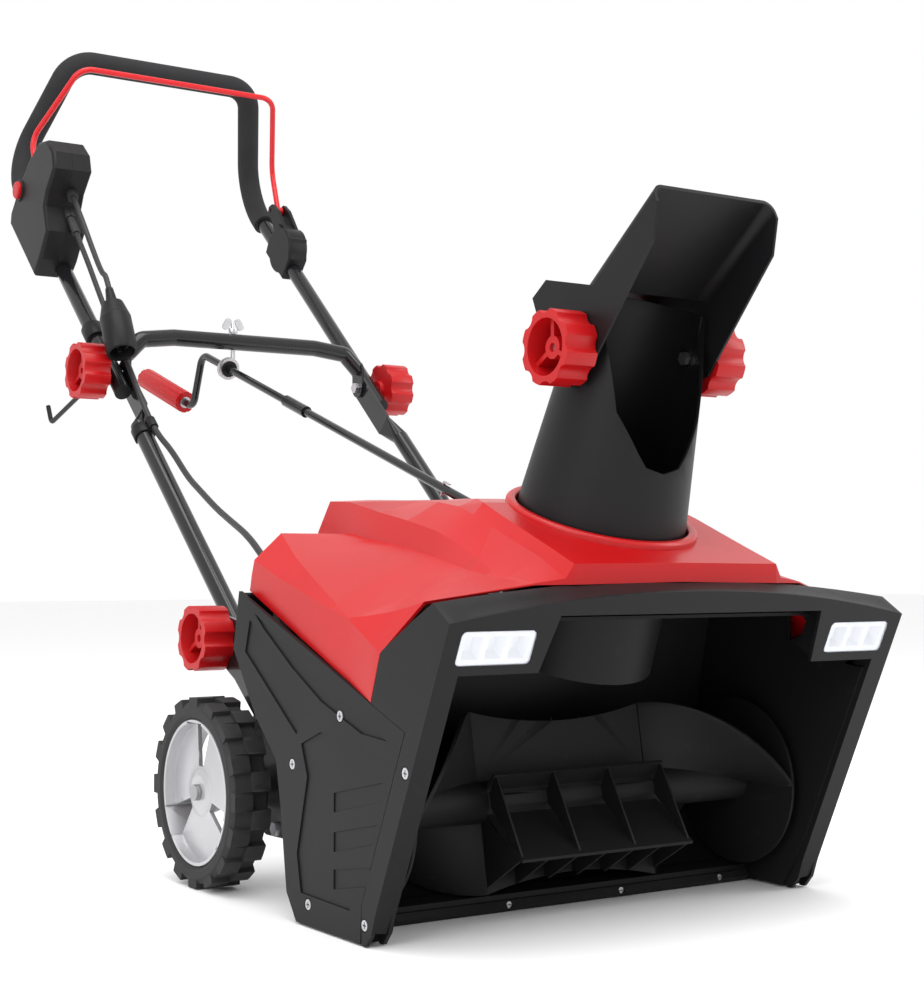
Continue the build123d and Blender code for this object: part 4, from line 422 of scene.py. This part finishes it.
# Cords: black rubber-sheathed flex, 7 mm thick. One runs from the switch box down the left
# tube into the body; a short one ends in the plug.
sheath, shader, start = open_finish("rubber_sheath", {"Specular IOR Level": 0.45})
skin = speckle(start, 800.0, 3.0, 0.6)
smear = speckle(start, 35.0, 3.0)
feed(shader, "Base Color", tinted(smear, (0.009, 0.009, 0.010), (0.022, 0.022, 0.024)))
feed(shader, "Roughness", 0.38 + smear * 0.2)
raised(shader, skin, 0.15, 0.0003)
cord_radius = 0.0036
hinge = Vector((0.0, 0.705, 0.586))
tube_lean = math.radians(48.6)
up_tube = Vector((0.0, math.sin(tube_lean), math.cos(tube_lean)))
off_tube = Vector((0.0, -math.cos(tube_lean), math.sin(tube_lean)))


def beside_tube(along, x, front):
    """A point measured up the handle tubes from the fold, and square to them."""
    return hinge + up_tube * along + off_tube * front + Vector((x, 0.0, 0.0))


def flex(name, points, radius):
    """A cord's own line as a curve with a round section, and the points it runs through."""
    line = bpy.data.curves.new(name, "CURVE")
    line.dimensions = "3D"
    line.resolution_u = 14
    spline = line.splines.new("NURBS")
    spline.points.add(len(points) - 1)
    for place, point in zip(spline.points, points):
        place.co = (*point, 1.0)
    spline.order_u, spline.use_endpoint_u = 3, True
    bare = bpy.data.objects.new(name + "_line", line)
    bpy.context.collection.objects.link(bare)
    bpy.context.view_layer.update()
    path = [tuple(v.co) for v in bpy.data.meshes.new_from_object(bare).vertices]
    line.bevel_depth, line.bevel_resolution, line.use_fill_caps = radius, 6, True
    bpy.context.view_layer.update()
    mesh = bpy.data.meshes.new_from_object(
        bare.evaluated_get(bpy.context.evaluated_depsgraph_get()))
    bpy.data.objects.remove(bare)
    mesh.name = name
    mesh.materials.clear()
    mesh.materials.append(sheath)
    mesh.shade_smooth()
    piece = bpy.data.objects.new(name, mesh)
    bpy.context.collection.objects.link(piece)
    return piece, path


lower_gland = Vector((-0.195, 0.861, 0.820))
lower_way = Vector((0.03, -0.66, -0.75)).normalized()
cable_points = [lower_gland + lower_way * 0.036, lower_gland + lower_way * 0.086,
                beside_tube(0.130, -0.187, 0.045), beside_tube(0.066, -0.186, 0.035),
                beside_tube(-0.008, -0.185, 0.029), beside_tube(-0.060, -0.185, 0.023),
                beside_tube(-0.108, -0.184, 0.0162), beside_tube(-0.150, -0.184, 0.0168),
                Vector((-0.185, 0.536, 0.476)), Vector((-0.190, 0.480, 0.442)),
                Vector((-0.200, 0.425, 0.424)), Vector((-0.208, 0.366, 0.402)),
                Vector((-0.218, 0.308, 0.386)), Vector((-0.227, 0.253, 0.371)),
                Vector((-0.232, 0.212, 0.352)), Vector((-0.233, 0.180, 0.330))]
motor_flex, motor_path = flex("motor_cable", cable_points, cord_radius)
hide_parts("motor_cable_upper", "motor_cable_lower")
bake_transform(motor_flex)

upper_gland = Vector((-0.195, 0.850, 0.846))
upper_way = Vector((-0.02, -0.72, -0.69)).normalized()
plug_top, plug_end = Vector((-0.201, 0.686, 0.671)), Vector((-0.201, 0.652, 0.606))
plug_way = (plug_end - plug_top).normalized()
plug_points = [upper_gland + upper_way * 0.006, upper_gland + upper_way * 0.050,
               Vector((-0.193, 0.776, 0.758)), Vector((-0.199, 0.726, 0.716)),
               plug_top - plug_way * 0.046, plug_top - plug_way * 0.014]
plug_flex, plug_path = flex("plug_cord_flex", plug_points, cord_radius)
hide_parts("plug_cord")
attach(plug_flex, "handle")
dress(["cord_glands"], sheath, 0.0004)

# Studio: a pale floor, a wide soft light overhead and two fills, and the camera low at the
# front left, as a person kneeling would look at the machine.
floor_mesh = bpy.data.meshes.new("studio_floor")
reach = 14.0
floor_mesh.from_pydata([(-reach, -reach, 0), (reach, -reach, 0), (reach, reach, 0),
                        (-reach, reach, 0)], [], [(0, 1, 2, 3)])
floor = bpy.data.objects.new("studio_floor", floor_mesh)
bpy.context.collection.objects.link(floor)
paper, shader, start = open_finish("studio_paper", {"Roughness": 0.9,
                                                    "Base Color": (0.93, 0.93, 0.93, 1.0)})
floor_mesh.materials.append(paper)
floor.location.z = -0.0006

scene = bpy.context.scene
world = bpy.data.worlds.new("studio")
world.use_nodes = True
sky = world.node_tree.nodes["Background"]
sky.inputs["Color"].default_value = (1.0, 1.0, 1.0, 1.0)
sky.inputs["Strength"].default_value = 1.0
scene.world = world


def softbox(name, place, aim, size, watts):
    """A soft rectangular light at a place, aimed at a point."""
    lamp = bpy.data.lights.new(name, "AREA")
    lamp.shape, lamp.size, lamp.size_y, lamp.energy = "RECTANGLE", size[0], size[1], watts
    box = bpy.data.objects.new(name, lamp)
    box.location = place
    box.rotation_euler = (Vector(aim) - Vector(place)).to_track_quat("-Z", "Y").to_euler()
    bpy.context.collection.objects.link(box)


softbox("overhead", (-0.5, -0.3, 3.0), (0, 0.3, 0.3), (2.4, 2.0), 55)
softbox("left_fill", (-2.6, -1.0, 1.6), (0, 0.2, 0.4), (1.6, 1.6), 32)
softbox("right_rim", (2.4, -1.2, 1.8), (0, 0.1, 0.3), (1.0, 1.8), 24)

lens = bpy.data.cameras.new("view")
sensor_height, focal_length = 36.0, 63.486
camera_tilt, camera_turn = 90 + 2.075, -33.683
lens.sensor_fit, lens.sensor_height, lens.lens = "VERTICAL", sensor_height, focal_length
camera = bpy.data.objects.new("view", lens)
bpy.context.collection.objects.link(camera)
camera.location = (-1.0726, -1.4268, 0.3399)
camera.rotation_euler = (math.radians(camera_tilt), 0.0, math.radians(camera_turn))
scene.camera = camera
scene.view_settings.view_transform = "Standard"
